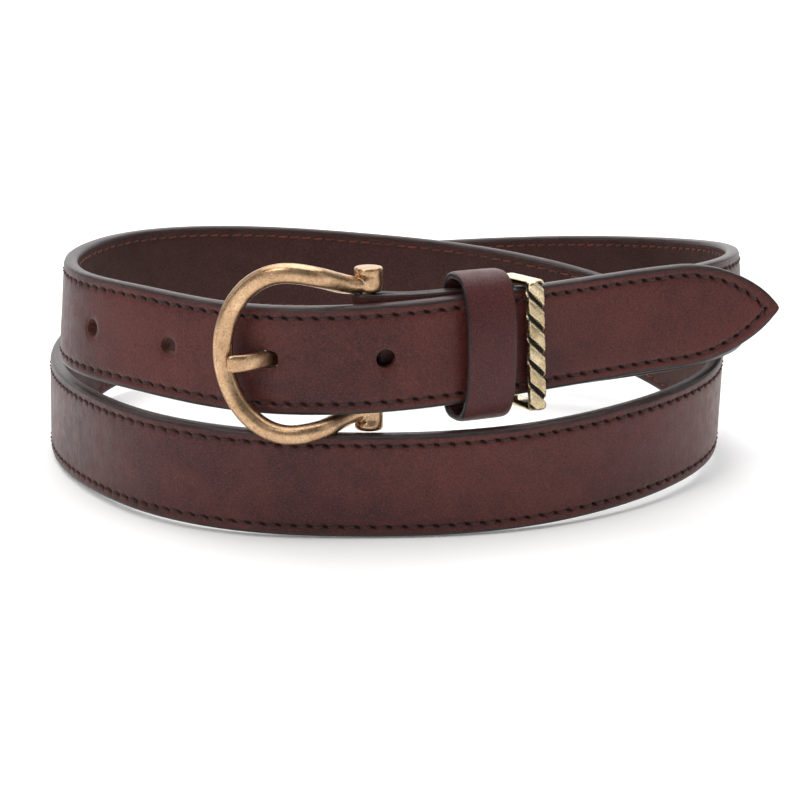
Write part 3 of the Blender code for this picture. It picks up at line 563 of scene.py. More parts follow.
def thread_material(name, dark, light, red=None):
    m = Nodes(name)
    obj = m.coords("Object")
    uv = m.coords("UV")
    twist = m.wave(m.mapping(uv, (1.0, 1.0, 1.0), (0, 0, math.radians(38))), 420.0, 0.6, 1.0)
    fuzz = m.noise(obj, 3200.0, 3.0, 0.7)
    tone = m.noise(obj, 260.0, 2.0, 0.5)
    colour = m.ramp(m.span(fuzz, 0.3, 0.7), [(0.0, dark), (1.0, light)])
    if red:
        colour = m.mix(m.span(tone, 0.40, 0.65, 0.0, 0.8), colour, red)
    normal = m.bump(twist, 0.6, 0.00010)
    normal = m.bump(fuzz, 0.4, 0.00005, normal)
    m.set(Base_Color=colour, Normal=normal, Roughness=m.span(tone, 0.3, 0.7, 0.50, 0.72))
    m.shader.inputs["Sheen Weight"].default_value = 0.05
    m.shader.inputs["Specular IOR Level"].default_value = 0.25
    return m.mat


GRAIN_MAT = leather_material("grain_leather", srgb(49, 23, 23), srgb(79, 38, 36), srgb(87, 41, 37),
                             "edge", "slit_shade", paint=srgb(56, 43, 42), rough=(0.38, 0.52))
LINING_MAT = leather_material("lining_leather", srgb(52, 30, 28), srgb(68, 41, 37), srgb(60, 34, 31),
                              "edge", "slit_shade", grain=0.45, paint=srgb(56, 43, 42), rough=(0.50, 0.66), crease=False)
FLESH_MAT = leather_material("hole_wall_leather", srgb(62, 36, 32), srgb(104, 64, 54), srgb(76, 44, 37),
                             grain=1.6, rough=(0.70, 0.85), crease=False)
KEEPER_MAT = leather_material("keeper_leather", srgb(58, 28, 28), srgb(78, 38, 38), srgb(71, 34, 34),
                              "edge", None, grain=0.7, paint=srgb(40, 30, 30), rough=(0.38, 0.50), crease=False)
THREAD_MAT = thread_material("face_thread", srgb(36, 21, 19), srgb(76, 50, 45))
BOBBIN_MAT = thread_material("lining_thread", srgb(52, 26, 20), srgb(100, 54, 42), srgb(120, 60, 44))
BUCKLE_MAT = antique_brass("buckle_antique_brass", srgb(216, 180, 143), srgb(172, 137, 104), srgb(78, 55, 39),
                           rough=(0.25, 0.37))
KEEPER_BRASS_MAT = antique_brass("keeper_antique_brass", srgb(222, 204, 170), srgb(172, 152, 116), srgb(74, 60, 42),
                                 "groove_shade", "plain", (0.20, 0.36))
STAPLE_MAT = antique_brass("staple_wire", srgb(190, 182, 170), srgb(150, 142, 130), srgb(80, 72, 60))


# ----------------------------------------------------------- strap, grain layer
def row_stops(end):
    """Section places: six to a stitch, and closer at the holes."""
    pattern = np.array([0.0, 0.45, 0.85, 1.25, 1.817, 2.38, 2.78, 3.18]) / 3.634
    k = np.arange(math.floor(phase_of(0.0)), int(end / STITCH_PITCH) + 1)
    s = place_of((k[:, None] + pattern[None, :]).ravel())
    s = np.concatenate([s, [APEX - 0.6, APEX - 0.3, APEX, APEX + 0.25, APEX + 0.5, APEX + 0.8, APEX + 1.2]])
    extra = []
    for h in HOLES:
        extra.append(np.arange(h - 4.2, h + 4.21, 0.35))
    lead = np.array([0.03, 0.10, 0.2, 0.34, 0.6, 0.95, 1.4, 2.0])
    s = np.concatenate([s, lead] + extra)
    s = np.unique(np.round(s[(s >= 0.02) & (s <= end)], 4))
    keep = [s[0]]
    for v in s[1:]:
        if v - keep[-1] > (0.16 if v > 1.0 else 0.05):
            keep.append(v)
    keep[-1] = end
    return np.array(keep)


EDGE_ROUND = 1.15
FACE_E = np.array([1.15, 1.5, 1.8, 2.05, 2.25, 2.43, 2.6, 2.77, 2.95, 3.2, 3.6, 4.3, 5.4, 6.8, 8.2, 9.2, 9.9, 10.5, 11.1, 11.7, 12.1])
Q_EDGE = np.array([0.0, 0.10, 0.24, 0.40, 0.56, 0.72, 0.86])  # depth fractions to mid thickness


def edge_inset(q):
    """How far the rounded edge lies inside the outline, q = 1 at the face."""
    return EDGE_ROUND * (1 - (1 - np.clip(q, 0, 1) ** 2.5) ** (1 / 2.5))


def face_depth(s, a, hs):
    """Depth of the face below the flat: stitch channel and slanted needle slits."""
    lean = float(np.interp(s, row_s, ROW_LEAN))
    x = (hs - np.abs(a)) / lean
    ahead = max(APEX - s, 0.0)
    ds = ((phase_of(s) + 0.5) % 1.0 - 0.5) * STITCH_PITCH if s > APEX + 0.5 else APEX - s
    near = math.exp(-(ds / 0.86) ** 4)
    fade = math.exp(-(ahead / 0.5) ** 2)
    line = np.exp(-(x / 0.45) ** 2) * fade
    slit = np.exp(-((x + 0.38 * ds * np.sign(a)) / 0.36) ** 2) * fade
    return 0.06 * line + 0.66 * slit * near + 0.09 * np.exp(-(x / 1.1) ** 2) * fade


def rim_dish(s, a):
    """The surface dips a little where it was punched."""
    d = np.zeros_like(a)
    for i, h in enumerate(HOLES):
        if abs(s - h) < 5.0:
            across = a + (HOLE_DROP if i == 1 else 0.0)
            rx, ry = (2.85, 2.0) if i == 1 else (HOLE_DIAMETER / 2, HOLE_DIAMETER / 2)
            r = np.sqrt(((s - h) / rx) ** 2 + (across / ry) ** 2)
            d += 0.28 * np.exp(-(np.clip(r - 1.0, 0, None) * ry / 0.55) ** 2)
    return d


def tip_fade(s):
    return np.clip((s - 5.0) / 1.5, 0, 1)


def build_grain():
    main = row_stops(S_BAR)
    C, T, U, N = frames_at(main)
    L = main.copy()
    thick = GRAIN_THICK + (FOLD_THICK - GRAIN_THICK) * np.clip((main - (S_BAR - 10.0)) / 8.0, 0, 1)
    h = np.array([outline(s) for s in main])
    hs = np.array([half_width(s, STITCH_MARGIN) for s in main])
    # wrap round the bar
    k = np.arange(1, 24) / 24.0 * math.pi
    centre = bar_c - bar_n * FOLD_OUTER_RADIUS
    R = bar_n[None] * np.cos(k)[:, None] + bar_t[None] * np.sin(k)[:, None]
    Cf = centre + R * FOLD_OUTER_RADIUS
    Uf = np.repeat(bar_u[None], len(k), 0)
    Lf = S_BAR + FOLD_OUTER_RADIUS * k
    # turned-back flap
    x = np.concatenate([np.arange(0, 11.0, 0.6), np.arange(11.4, FLAP_LENGTH, 0.9), [FLAP_LENGTH]])

    def flap(xv):
        c, t, u, n = frames_at(S_BAR - xv)
        w = np.clip(xv / 10.5, 0, 1)
        w = w * w * (3 - 2 * w)
        depth = 2 * FOLD_OUTER_RADIUS * (1 - w) + FLAP_FACE * w
        return c - n * depth[:, None], u, n
    P, u2, n2 = flap(x)
    a, _, _ = flap(np.maximum(x - 0.3, 0))
    b, _, _ = flap(x + 0.3)
    go = b - a
    go /= np.linalg.norm(go, axis=1)[:, None]
    F = np.cross(u2, go)
    F /= np.linalg.norm(F, axis=1)[:, None]
    F[np.sum(F * n2, 1) > 0] *= -1
    Lb = S_BAR + math.pi * FOLD_OUTER_RADIUS + x
    thick_b = FOLD_THICK + (GRAIN_THICK - FOLD_THICK) * np.clip(x / 9.0, 0, 1)
    C = np.vstack([C, Cf, P])
    U = np.vstack([U, Uf, u2])
    N = np.vstack([N, R, F])
    L = np.concatenate([L, Lf, Lb])
    thick = np.concatenate([thick, np.full(len(k), FOLD_THICK), thick_b])
    h = np.concatenate([h, np.full(len(k) + len(x), STRAP_WIDTH / 2)])
    hs = np.concatenate([hs, np.full(len(k) + len(x), STRAP_WIDTH / 2 - STITCH_MARGIN)])

    doubled = (L < LINING_END) * 1.0          # lined part: edge shared with the lining
    n_face = len(FACE_E)
    rings, edge_att, slit_shade_att, uvs = [], [], [], []
    flat = 0.0
    for i in range(len(L)):
        hw = h[i]
        scale = min((hw - hs[i]) / STITCH_MARGIN, hw / 3.4)
        e = FACE_E.copy()
        group = FACE_E <= 3.6
        scale = (hw - hs[i]) / STITCH_MARGIN
        e[group] = FACE_E[group] * scale
        last = min(3.6 * scale, hw - 0.3)
        inner = ~group
        e[inner] = last + (FACE_E[inner] - 3.6) / (12.5 - 3.6) * (hw - last)
        e = np.minimum(e, hw - 0.03 * np.arange(len(e), 0, -1))
        in_stitch = 1.0 if L[i] < S_BAR - 83.0 else 0.0
        flapping = L[i] > S_BAR + math.pi * FOLD_OUTER_RADIUS + 12.0
        t = thick[i]
        share = STACK if doubled[i] else t
        # rounded edge from the face down to the middle of the strap
        if doubled[i]:
            depth_edge = (1 - Q_EDGE[::-1]) * (STACK / 2)
            q = Q_EDGE[::-1]
        else:
            depth_edge = (1 - Q_EDGE[::-1]) * (t / 2)
            q = Q_EDGE[::-1]
        inset = edge_inset(q) * min(1.0, hw / 2.4) * (1.0 if doubled[i] else 0.75)
        flat_start = EDGE_ROUND * min(1.0, hw / 2.4) * (1.0 if doubled[i] else 0.75)
        e = np.maximum(e, flat_start * 0.999 + np.arange(len(e)) * 1e-4)
        e = np.minimum(e, hw - 0.0005 * np.arange(len(e), 0, -1))
        back_depth = (STACK / 2 - 0.015) if doubled[i] else t
        ring, ed, pi = [], [], []
        # face from +a to -a
        a_face = np.concatenate([hw - e, -(hw - e)[::-1]])
        d_face = face_depth(L[i], a_face, hs[i]) * in_stitch
        # painted shade: the deeper the needle slit, the darker its colour is painted
        slit_shade_face = np.clip(d_face / 0.34 - 0.40, 0, 1)
        if L[i] < S_BAR - 900.0:
            d_face = d_face + rim_dish(L[i], a_face)
        g_face = np.clip(1 - (np.concatenate([e, e[::-1]]) - flat_start) / 0.5, 0, 1) * 0.45
        # edges
        a_lo = -(hw - inset)
        ring_a = list(a_face) + list(a_lo)
        ring_d = list(d_face) + list(depth_edge)
        ed = list(g_face) + [1.0 if qq < 0.90 else 0.8 for qq in q]
        pi = list(slit_shade_face) + [0.0] * len(q)
        if doubled[i]:
            ring_a += [-(hw - 0.10), -(hw - 1.2), 0.0, hw - 1.2, hw - 0.10]
            ring_d += [back_depth] * 5
            ed += [1.0, 0.0, 0.0, 0.0, 1.0]
        else:
            ring_a += [-(hw - 0.35), -(hw - 1.6), 0.0, hw - 1.6, hw - 0.35]
            ring_d += [t] * 5
            ed += [0.8, 0.0, 0.0, 0.0, 0.8]
        pi += [0.0] * 5
        ring_a += list(hw - inset[::-1])
        ring_d += list(depth_edge[::-1])
        ed += [1.0 if qq < 0.90 else 0.8 for qq in q[::-1]]
        pi += [0.0] * len(q)
        ring_a, ring_d = np.array(ring_a), np.array(ring_d)
        rings.append(C[i] + U[i] * ring_a[:, None] - N[i] * ring_d[:, None])
        edge_att += ed
        slit_shade_att += pi
        uvs += [(L[i] * MM, av * MM + dv * MM * 0.5) for av, dv in zip(ring_a, ring_d)]
    verts, faces = skin(rings)
    return mesh_object("strap_leather", verts, faces, 50.0,
                       {"edge": edge_att, "slit_shade": slit_shade_att}, uvs)


def hole_cutter(name, s, length, width, depth_from, depth_to, power=2.0, sides=48, lean=0.0, drop=0.0):
    c, t, u, n = frame_at(s)
    c = c - u * drop
    rings = []
    for d in (depth_from, depth_to):
        ang = np.arange(sides) * 2 * math.pi / sides
        ca, sa = np.cos(ang), np.sin(ang)
        rings.append(c - n * d + t * (length / 2 * signed_power(ca, 2 / power) + lean * (STACK / 2 - d))[:, None]
                     + u * (width / 2 * signed_power(sa, 2 / power))[:, None])
    verts, faces = skin(rings)
    return mesh_object(name, verts, faces, 0, {"edge": [0.0] * len(verts), "slit_shade": [0.0] * len(verts)},
                       [(0.0, 0.0)] * len(verts))


def wall_faces(obj, skin_mat, holes, with_slot):
    """Gives the walls of the punched holes the raw leather material."""
    mesh = obj.data
    mesh.materials.clear()
    mesh.materials.append(skin_mat)
    mesh.materials.append(FLESH_MAT)
    n = len(mesh.polygons)
    cen = np.empty(n * 3)
    nor = np.empty(n * 3)
    mesh.polygons.foreach_get("center", cen)
    mesh.polygons.foreach_get("normal", nor)
    cen, nor = cen.reshape(-1, 3) / MM - SHIFT, nor.reshape(-1, 3)
    index = np.zeros(n, np.int32)
    for i, s in enumerate(holes):
        c, t, u, n_out = frame_at(s)
        rel = cen - c
        x, y, z = rel @ t, rel @ u, -(rel @ n_out)
        reach = (3.25, 2.4) if i == 1 else (HOLE_DIAMETER / 2 + 0.03,) * 2
        inside = (np.abs(x) < reach[0]) & (np.abs(y) < reach[1]) & (z > -0.3) & (z < STACK + 0.3)
        index[inside & (np.abs(nor @ n_out) < 0.3)] = 1
    if with_slot:
        rel = cen - slot_centre
        x, y, z = rel @ bar_t, rel[:, 2], rel @ bar_n
        near = (np.abs(x) < SLOT_HALF + 0.1) & (np.abs(y) < 2.9) & (np.abs(z) < 4.6)
        flat = ((np.abs(np.abs(y) - 2.8) < 0.1) & (np.abs(nor[:, 2]) > 0.6)) | (np.abs(np.abs(x) - SLOT_HALF) < 0.12)
        index[near & flat] = 1
    mesh.polygons.foreach_set("material_index", index)


strap = build_grain()
cutters = []
for i, s in enumerate(HOLES):
    used = i == 1
    cutters.append(hole_cutter("punch_%d" % i, s, 5.7 if used else HOLE_DIAMETER,
                               4.0 if used else HOLE_DIAMETER, -1.0, STACK + 1.0, 3.0 if used else 2.0,
                               lean=0.22 if used else 0.0, drop=HOLE_DROP if used else 0.0))
slot_centre = AXIS.copy()
slot_centre[2] = PRONG_Z
slot_centre += bar_t * (SLOT_AHEAD - SLOT_BEHIND) / 2
SLOT_HALF = (SLOT_AHEAD + SLOT_BEHIND) / 2
ang = np.arange(40) * 2 * math.pi / 40
rings = []
for d in (-4.5, 4.5):
    rings.append(slot_centre + bar_n * d + bar_t * (SLOT_HALF * signed_power(np.cos(ang), 0.55))[:, None]
                 + np.array([0, 0, 1.0]) * (2.8 * signed_power(np.sin(ang), 0.55))[:, None])
v, f = skin(rings)
slot_cutter = mesh_object("slot_punch", v, f, 0, {"edge": [0.0] * len(v), "slit_shade": [0.0] * len(v)}, [(0.0, 0.0)] * len(v))
cut(strap, cutters + [slot_cutter])
wall_faces(strap, GRAIN_MAT, HOLES, True)
strap.data.polygons.foreach_set("use_smooth", [True] * len(strap.data.polygons))
strap.data.set_sharp_from_angle(angle=math.radians(50))


# ---------------------------------------------------------------- strap, lining
def build_lining():
    s_all = row_stops(LINING_END)
    C, T, U, N = frames_at(s_all)
    rings, ed_all, slit_shade_all, uvs = [], [], [], []
    for i, s in enumerate(s_all):
        hw = outline(s)
        hs = half_width(s, STITCH_MARGIN)
        scale = min((hw - hs) / STITCH_MARGIN, hw / 3.4)
        E = np.array([1.15, 1.6, 2.0, 2.35, 2.6, 2.85, 3.2, 3.6, 5.0, 7.5, 10.0, 12.0])
        e = E.copy()
        g = E <= 3.6
        e[g] = E[g] * scale
        e[~g] = 3.6 * scale + (E[~g] - 3.6) / 8.9 * (hw - 3.6 * scale)
        k = abs((s / STITCH_PITCH + 0.5) % 1.0 - 0.5) * STITCH_PITCH
        line = np.exp(-((E - STITCH_MARGIN) / 0.45) ** 2)
        d = (0.10 + 0.22 * math.exp(-(k / 0.5) ** 2)) * line * (1.0 if s > 5.6 else 0.0)
        small = min(1.0, hw / 2.4)
        q = Q_EDGE[::-1]
        depth_edge = STACK - (1 - q) * (STACK / 2)
        inset = edge_inset(q) * small
        e = np.maximum(e, EDGE_ROUND * small * 0.999 + np.arange(len(e)) * 1e-4)
        mid = STACK / 2 + 0.015
        ring_a = list(hw - e) + list(-(hw - e)[::-1]) + list(-(hw - inset))
        ring_d = list(STACK - d) + list((STACK - d)[::-1]) + list(depth_edge)
        ed = list(np.clip(1 - (e - EDGE_ROUND * small) / 0.5, 0, 1) * 0.45)
        ed = ed + ed[::-1] + [1.0] * len(q)
        # painted shade: the lining's needle slits get darker colour the deeper they are pressed in
        slit_shade_row = list(np.clip(d / 0.3 - 0.45, 0, 1) * 0.8)
        slit_shade = slit_shade_row + slit_shade_row[::-1] + [0.0] * len(q)
        ring_a += [-(hw - 0.10), -(hw - 1.2), 0.0, hw - 1.2, hw - 0.10] + list(hw - inset[::-1])
        ring_d += [mid] * 5 + list(depth_edge[::-1])
        ed += [1.0, 0, 0, 0, 1.0] + [1.0] * len(q)
        slit_shade += [0.0] * (5 + len(q))
        ring_a, ring_d = np.array(ring_a), np.array(ring_d)
        rings.append(C[i] + U[i] * ring_a[:, None] - N[i] * ring_d[:, None])
        ed_all += ed
        slit_shade_all += slit_shade
        uvs += [(s * MM, av * MM + dv * MM * 0.5) for av, dv in zip(ring_a, ring_d)]
    verts, faces = skin(rings)
    return mesh_object("strap_lining_leather", verts, faces, 50.0, {"edge": ed_all, "slit_shade": slit_shade_all}, uvs)


lining = build_lining()
cut(lining, [hole_cutter("lining_punch_%d" % i, s, 5.7 if i == 1 else HOLE_DIAMETER, 4.0 if i == 1 else HOLE_DIAMETER,
                         -1.0, STACK + 1.0, 3.0 if i == 1 else 2.0, lean=0.22 if i == 1 else 0.0,
                         drop=HOLE_DROP if i == 1 else 0.0) for i, s in enumerate(HOLES)])
wall_faces(lining, LINING_MAT, HOLES, False)
lining.data.polygons.foreach_set("use_smooth", [True] * len(lining.data.polygons))
lining.data.set_sharp_from_angle(angle=math.radians(50))


# --------------------------------------------------------------------- stitches
def stitch_row(points, normals, radius, rise, sink, slant, flat=0.8, sides=8, steps=9, trim=0.30):
    """One bent capsule for each pair of needle holes."""
    verts, faces, uvs = [], [], []
    tau = np.linspace(0, 1, steps)
    ang = np.arange(sides) * 2 * math.pi / sides
    base = 0
    for i in range(len(points) - 1):
        p, q = points[i], points[i + 1]
        n = normals[i] + normals[i + 1]
        n /= np.linalg.norm(n)
        go = q - p
        length = np.linalg.norm(go)
        go = go / length
        side = np.cross(n, go)
        side /= np.linalg.norm(side)
        wobble = 0.05 * math.sin(i * 2.399)
        arch = np.sin(math.pi * tau) ** 0.55
        height = -sink + (sink + rise + 0.03 * math.sin(i * 1.7)) * arch
        x = trim + (length - 2 * trim) * tau
        lateral = slant * (tau - 0.5) + wobble * np.sin(math.pi * tau)
        centre = p + go * x[:, None] + n * height[:, None] + side * lateral[:, None]
        r = radius * (0.62 + 0.38 * np.sin(math.pi * np.clip(tau, 0.04, 0.96)) ** 0.5)
        t = np.gradient(centre, axis=0)
        t /= np.linalg.norm(t, axis=1)[:, None]
        nn = np.cross(t, side)
        nn /= np.linalg.norm(nn, axis=1)[:, None]
        ring = (centre[:, None] + side[None, None] * (r[:, None] * np.cos(ang)[None])[..., None]
                + nn[:, None] * (r[:, None] * flat * np.sin(ang)[None])[..., None])
        verts.append(ring.reshape(-1, 3))
        for a in range(steps - 1):
            for b in range(sides):
                b2 = (b + 1) % sides
                faces.append((base + a * sides + b, base + a * sides + b2,
                              base + (a + 1) * sides + b2, base + (a + 1) * sides + b))
        faces.append(tuple(base + b for b in reversed(range(sides))))
        faces.append(tuple(base + (steps - 1) * sides + b for b in range(sides)))
        for a in range(steps):
            for b in range(sides):
                uvs.append(((i * length + x[a]) * MM, b / sides * 2 * math.pi * radius * MM))
        base += steps * sides
    return np.vstack(verts), faces, uvs


def join_rows(name, rows, mat, **kw):
    verts, faces, uvs, base = [], [], [], 0
    for pts, nrm, slant in rows:
        v, f, t = stitch_row(pts, nrm, slant=slant, **kw)
        verts.append(v)
        faces += [tuple(i + base for i in face) for face in f]
        uvs += t
        base += len(v)
    obj = mesh_object(name, np.vstack(verts), faces, 60.0, None, uvs)
    obj.data.materials.append(mat)
    return obj


def row_points(side, start, end, depth, lift_sign):
    k = np.arange(math.ceil(phase_of(start)), math.floor(phase_of(end)) + 1)
    s = place_of(k)
    C, T, U, N = frames_at(s)
    a = np.array([half_width(v, STITCH_MARGIN) for v in s]) * side
    return C + U * a[:, None] - N * depth, N * lift_sign


FACE_END = S_BAR - 84.0
top, top_n = row_points(1, APEX + 1.6, FACE_END, 0.14, 1)
low, low_n = row_points(-1, APEX + 1.6, FACE_END, 0.14, 1)
c, t, u, n = frame_at(APEX)
apex, apex_n = (c - n * 0.14)[None], n[None]
face_rows = [(np.vstack([apex, top]), np.vstack([apex_n, top_n]), 0.16),
             (np.vstack([apex, low]), np.vstack([apex_n, low_n]), 0.16)]
face_stitches = join_rows("face_stitches", face_rows, THREAD_MAT, radius=0.33, rise=0.12, sink=0.62, trim=0.66)

rows = []
for side in (1, -1):
    pts, nrm = row_points(side, 6.0, LINING_END - 2.5, STACK - 0.10, -1)
    rows.append((pts, nrm, 0.25))
lining_stitches = join_rows("lining_stitches", rows, BOBBIN_MAT, radius=0.30, rise=0.13, sink=0.35)

rows = []
x = np.arange(12.6, FLAP_LENGTH - 1.8, STITCH_PITCH)
C, T, U, N = frames_at(S_BAR - x)
for side in (1, -1):
    rows.append((C + U * side * (STRAP_WIDTH / 2 - STITCH_MARGIN) - N * (FLAP_FACE - 0.02), -N, 0.16))
C1, T1, U1, N1 = frame_at(S_BAR - x[-1])
a = np.linspace(STRAP_WIDTH / 2 - STITCH_MARGIN, -(STRAP_WIDTH / 2 - STITCH_MARGIN), 7)
rows.append((C1 + U1 * a[:, None] - N1 * (FLAP_FACE - 0.02), np.repeat(-N1[None], 7, 0), 0.0))
turnback_stitches = join_rows("turnback_stitches", rows, THREAD_MAT, radius=0.27, rise=0.20, sink=0.5)

# ----------------------------------------------------------------- buckle frame
FRAME_TOP_X, FRAME_LEFT_X, FRAME_HALF_HEIGHT = -24.8, -39.7, 18.45
UPPER_ARM = [(-7.0, -56.6, 14.35, 0.78), (-9.0, -57.0, 14.4, 0.82), (-10.9, -57.7, 14.55, 0.90),
             (-12.5, -58.6, 14.95, 0.96), (-14.3, -60.1, 15.65, 0.99), (-16.3, -62.1, 16.6, 1.0),
             (-18.6, -63.9, 17.5, 1.0)]
LOWER_ARM = [(-7.0, -56.6, 14.8, 0.84), (-9.0, -57.0, 15.0, 0.86), (-10.9, -57.6, 15.4, 0.90),
             (-12.5, -58.5, 16.0, 0.92), (-14.3, -60.1, 16.6, 0.92), (-16.3, -62.2, 17.15, 0.93),
             (-18.6, -63.9, 17.6, 0.95)]
SIDE = [(-21.0, -64.55), (-25.0, -64.6), (-32.0, -63.2), (-39.7, -61.2)]


def frame_line():
    plan = [(x, y) for x, y, _, _ in UPPER_ARM[-3:]] + SIDE
    curve = []
    for k in range(1, 40):
        a = math.pi / 2 + math.pi * k / 40
        x = FRAME_TOP_X + (FRAME_TOP_X - FRAME_LEFT_X) * math.cos(a)
        curve.append((x, FRAME_HALF_HEIGHT * math.sin(a)))
    shoulder = [(-21.2, 18.12), (-23.4, 18.40)]
    curve = shoulder + curve + [(x, -z) for x, z in reversed(shoulder)]
    depth = natural_spline([-x for x, _ in plan], [[y] for _, y in plan], [-x for x, _ in curve])[:, 0]
    pts = list(UPPER_ARM) + [(x, float(y), z, 1.0) for (x, z), y in zip(curve, depth)]
    pts += [(x, y, -z, w) for x, y, z, w in reversed(LOWER_ARM)]
    pts = np.array(pts)
    d = np.concatenate([[0], np.cumsum(np.linalg.norm(np.diff(pts[:, :3], axis=0), axis=1))])
    out = natural_spline(d, pts, np.linspace(0, d[-1], 230))
    return out


def rod_rings(line, high, deep, sides=40):
    P = line[:, :3] + np.array([0, 0, FRAME_CENTRE_Z])
    t = np.gradient(P, axis=0)
    t /= np.linalg.norm(t, axis=1)[:, None]
    front = np.array([0, -1.0, 0])
    side = np.cross(t, front)
    side /= np.linalg.norm(side, axis=1)[:, None]
    face = np.cross(side, t)
    ang = np.arange(sides) * 2 * math.pi / sides
    # face-on: +side is towards the outside of the C
    rx = signed_power(np.cos(ang), 2 / 2.1)
    ry = signed_power(np.sin(ang), 2 / 2.1)
    ridge = 1.0 + 0.030 * np.exp(-((ang - math.radians(52)) / 0.20) ** 2) \
        + 0.024 * np.exp(-((ang - math.radians(124)) / 0.20) ** 2)
    w = line[:, 3:4]
    rings = (P[:, None] + side[:, None] * (high / 2 * w * rx * ridge)[..., None]
             + face[:, None] * (deep / 2 * w * ry * ridge)[..., None])
    return rings


line = frame_line()
rings = rod_rings(line, 4.55, 4.0)
v, f = skin(rings)
buckle = mesh_object("buckle_frame_cast", v, f, 0)


def peg_verts(sign, sides=64):
    """A terminal: a short post with a flared end that points along the arm."""
    low = 0.0 if sign > 0 else 0.75
    rows = [  # height from the centre, centre x, radius x, radius y
        (12.72, 1.1, 1.9, 1.8), (12.84, 1.1, 2.2, 2.1), (13.15, 1.15, 2.48, 2.3), (13.6, 1.2, 2.58, 2.4),
        (14.6, 1.3, 2.62, 2.45), (15.4, 1.25, 2.68, 2.5), (16.0 + low, 1.1, 2.83, 2.65),
        (16.45 + low, 0.92, 3.0, 2.85), (16.85 + low, 0.75, 3.17, 3.0), (17.2 + low, 0.66, 3.26, 3.1),
        (17.9 + low, 0.66, 3.26, 3.1), (18.25 + low, 0.70, 3.18, 3.0), (18.42 + low, 0.74, 3.02, 2.86),
        (18.5 + low, 0.80, 2.7, 2.55),
    ]
    ang = np.arange(sides) * 2 * math.pi / sides
    rings = []
    for z, cx, rx, ry in rows:
        rings.append(AXIS + np.stack([cx + rx * np.cos(ang), ry * np.sin(ang), np.full(sides, z * sign)], 1))
    return skin(rings)


for sign in (1, -1):
    v, f = peg_verts(sign)
    peg = mesh_object("peg_%d" % sign, v, f, 0)
    cut(buckle, [peg], "UNION")


def remesh_smooth(obj, voxel, rounds, keep=0.6):
    mod = obj.modifiers.new("remesh", "REMESH")
    mod.mode = "VOXEL"
    mod.voxel_size = voxel * MM
    evaluated(obj)
    mod = obj.modifiers.new("smooth", "SMOOTH")
    mod.factor = keep
    mod.iterations = rounds
    evaluated(obj)


def set_smooth(obj, angle=None):
    obj.data.polygons.foreach_set("use_smooth", [True] * len(obj.data.polygons))
    if angle:
        obj.data.set_sharp_from_angle(angle=math.radians(angle))


remesh_smooth(buckle, 0.14, 16)
# cast surface: slight unevenness
co = np.empty(len(buckle.data.vertices) * 3)
buckle.data.vertices.foreach_get("co", co)
no = np.empty(len(buckle.data.vertices) * 3)
buckle.data.vertices.foreach_get("normal", no)
co, no = co.reshape(-1, 3), no.reshape(-1, 3)
co += no * (hash_noise(co / MM, 0.35, 1.0) * 0.004)[:, None] * MM
buckle.data.vertices.foreach_set("co", co.ravel())
buckle.data.update()


def tube(name, centre, z0, z1, radius, sides=48):
    ang = np.arange(sides) * 2 * math.pi / sides
    rings = [centre + np.stack([radius * np.cos(ang), radius * np.sin(ang), np.full(sides, z)], 1) for z in (z0, z1)]
    v, f = skin(rings)
    return mesh_object(name, v, f, 0)


cut(buckle, [tube("bore_up", AXIS, 12.0, 17.5, 1.55), tube("bore_low", AXIS, -17.5, -12.0, 1.55)])
buckle.data.materials.clear()
buckle.data.materials.append(BUCKLE_MAT)
set_smooth(buckle, 55)

# bar: a turned pin with rounded ends
ang = np.arange(48) * 2 * math.pi / 48
rows = [(-17.2, 0.9), (-17.1, 1.2), (-16.9, 1.36), (-16.6, 1.4)] + [(z, 1.4) for z in np.linspace(-15, 15, 21)] \
    + [(16.6, 1.4), (16.9, 1.36), (17.1, 1.2), (17.2, 0.9)]
v, f = skin([AXIS + np.stack([r * np.cos(ang), r * np.sin(ang), np.full(48, z)], 1) for z, r in rows])
bar = mesh_object("buckle_bar_pin", v, f, 40)
bar.data.materials.append(BUCKLE_MAT)

# ------------------------------------------------------------------------ prong
PRONG_LINE = np.array([
    (-8.4, -58.15, 1.7, 1.0), (-11.3, -58.15, 1.8, 1.0), (-16.8, -57.95, 1.8, 1.0), (-20.0, -57.5, 1.8, 1.0),
    (-22.5, -56.95, 1.8, 1.0), (-24.7, -56.3, 1.8, 1.0), (-26.3, -56.25, 1.8, 0.97), (-27.7, -57.0, 1.8, 0.95),
    (-29.1, -58.3, 1.8, 0.95), (-30.4, -59.6, 1.8, 0.96), (-31.8, -61.0, 1.85, 0.98), (-33.2, -62.3, 1.85, 1.0),
    (-34.7, -63.35, 1.85, 1.0), (-36.4, -63.95, 1.8, 1.01), (-37.8, -64.1, 1.75, 1.02), (-38.5, -64.1, 1.65, 1.0),
])
d = np.concatenate([[0], np.cumsum(np.linalg.norm(np.diff(PRONG_LINE[:, :2], axis=0), axis=1))])
pl = natural_spline(d, PRONG_LINE, np.linspace(0, d[-1], 110))
P = np.stack([pl[:, 0], pl[:, 1], np.full(len(pl), PRONG_Z)], 1)
t = np.gradient(P, axis=0)
t /= np.linalg.norm(t, axis=1)[:, None]
up = np.array([0, 0, 1.0])
face = np.cross(t, up)
face[face[:, 1] > 0] *= -1
ang = np.arange(36) * 2 * math.pi / 36
rings = []
total = len(pl)
for i in range(total):
    a = 1.95 * pl[i, 3]
    b = pl[i, 2] / 2
    end = (total - 1 - i) / 5.0
    if end < 1:
        a *= 0.70 + 0.30 * math.sqrt(max(0.0, 1 - (1 - end) ** 2))
        b *= 0.55 + 0.45 * math.sqrt(max(0.0, 1 - (1 - end) ** 2))
    pw = 3.4
    rings.append(P[i] + up * (a * signed_power(np.cos(ang), 2 / pw))[:, None]
                 + face[i] * (b * signed_power(np.sin(ang), 2 / pw))[:, None])
v, f = skin(rings)
prong = mesh_object("buckle_prong_blade", v, f, 0)
pc = np.array([AXIS[0], AXIS[1], PRONG_Z])
ang = np.arange(64) * 2 * math.pi / 64
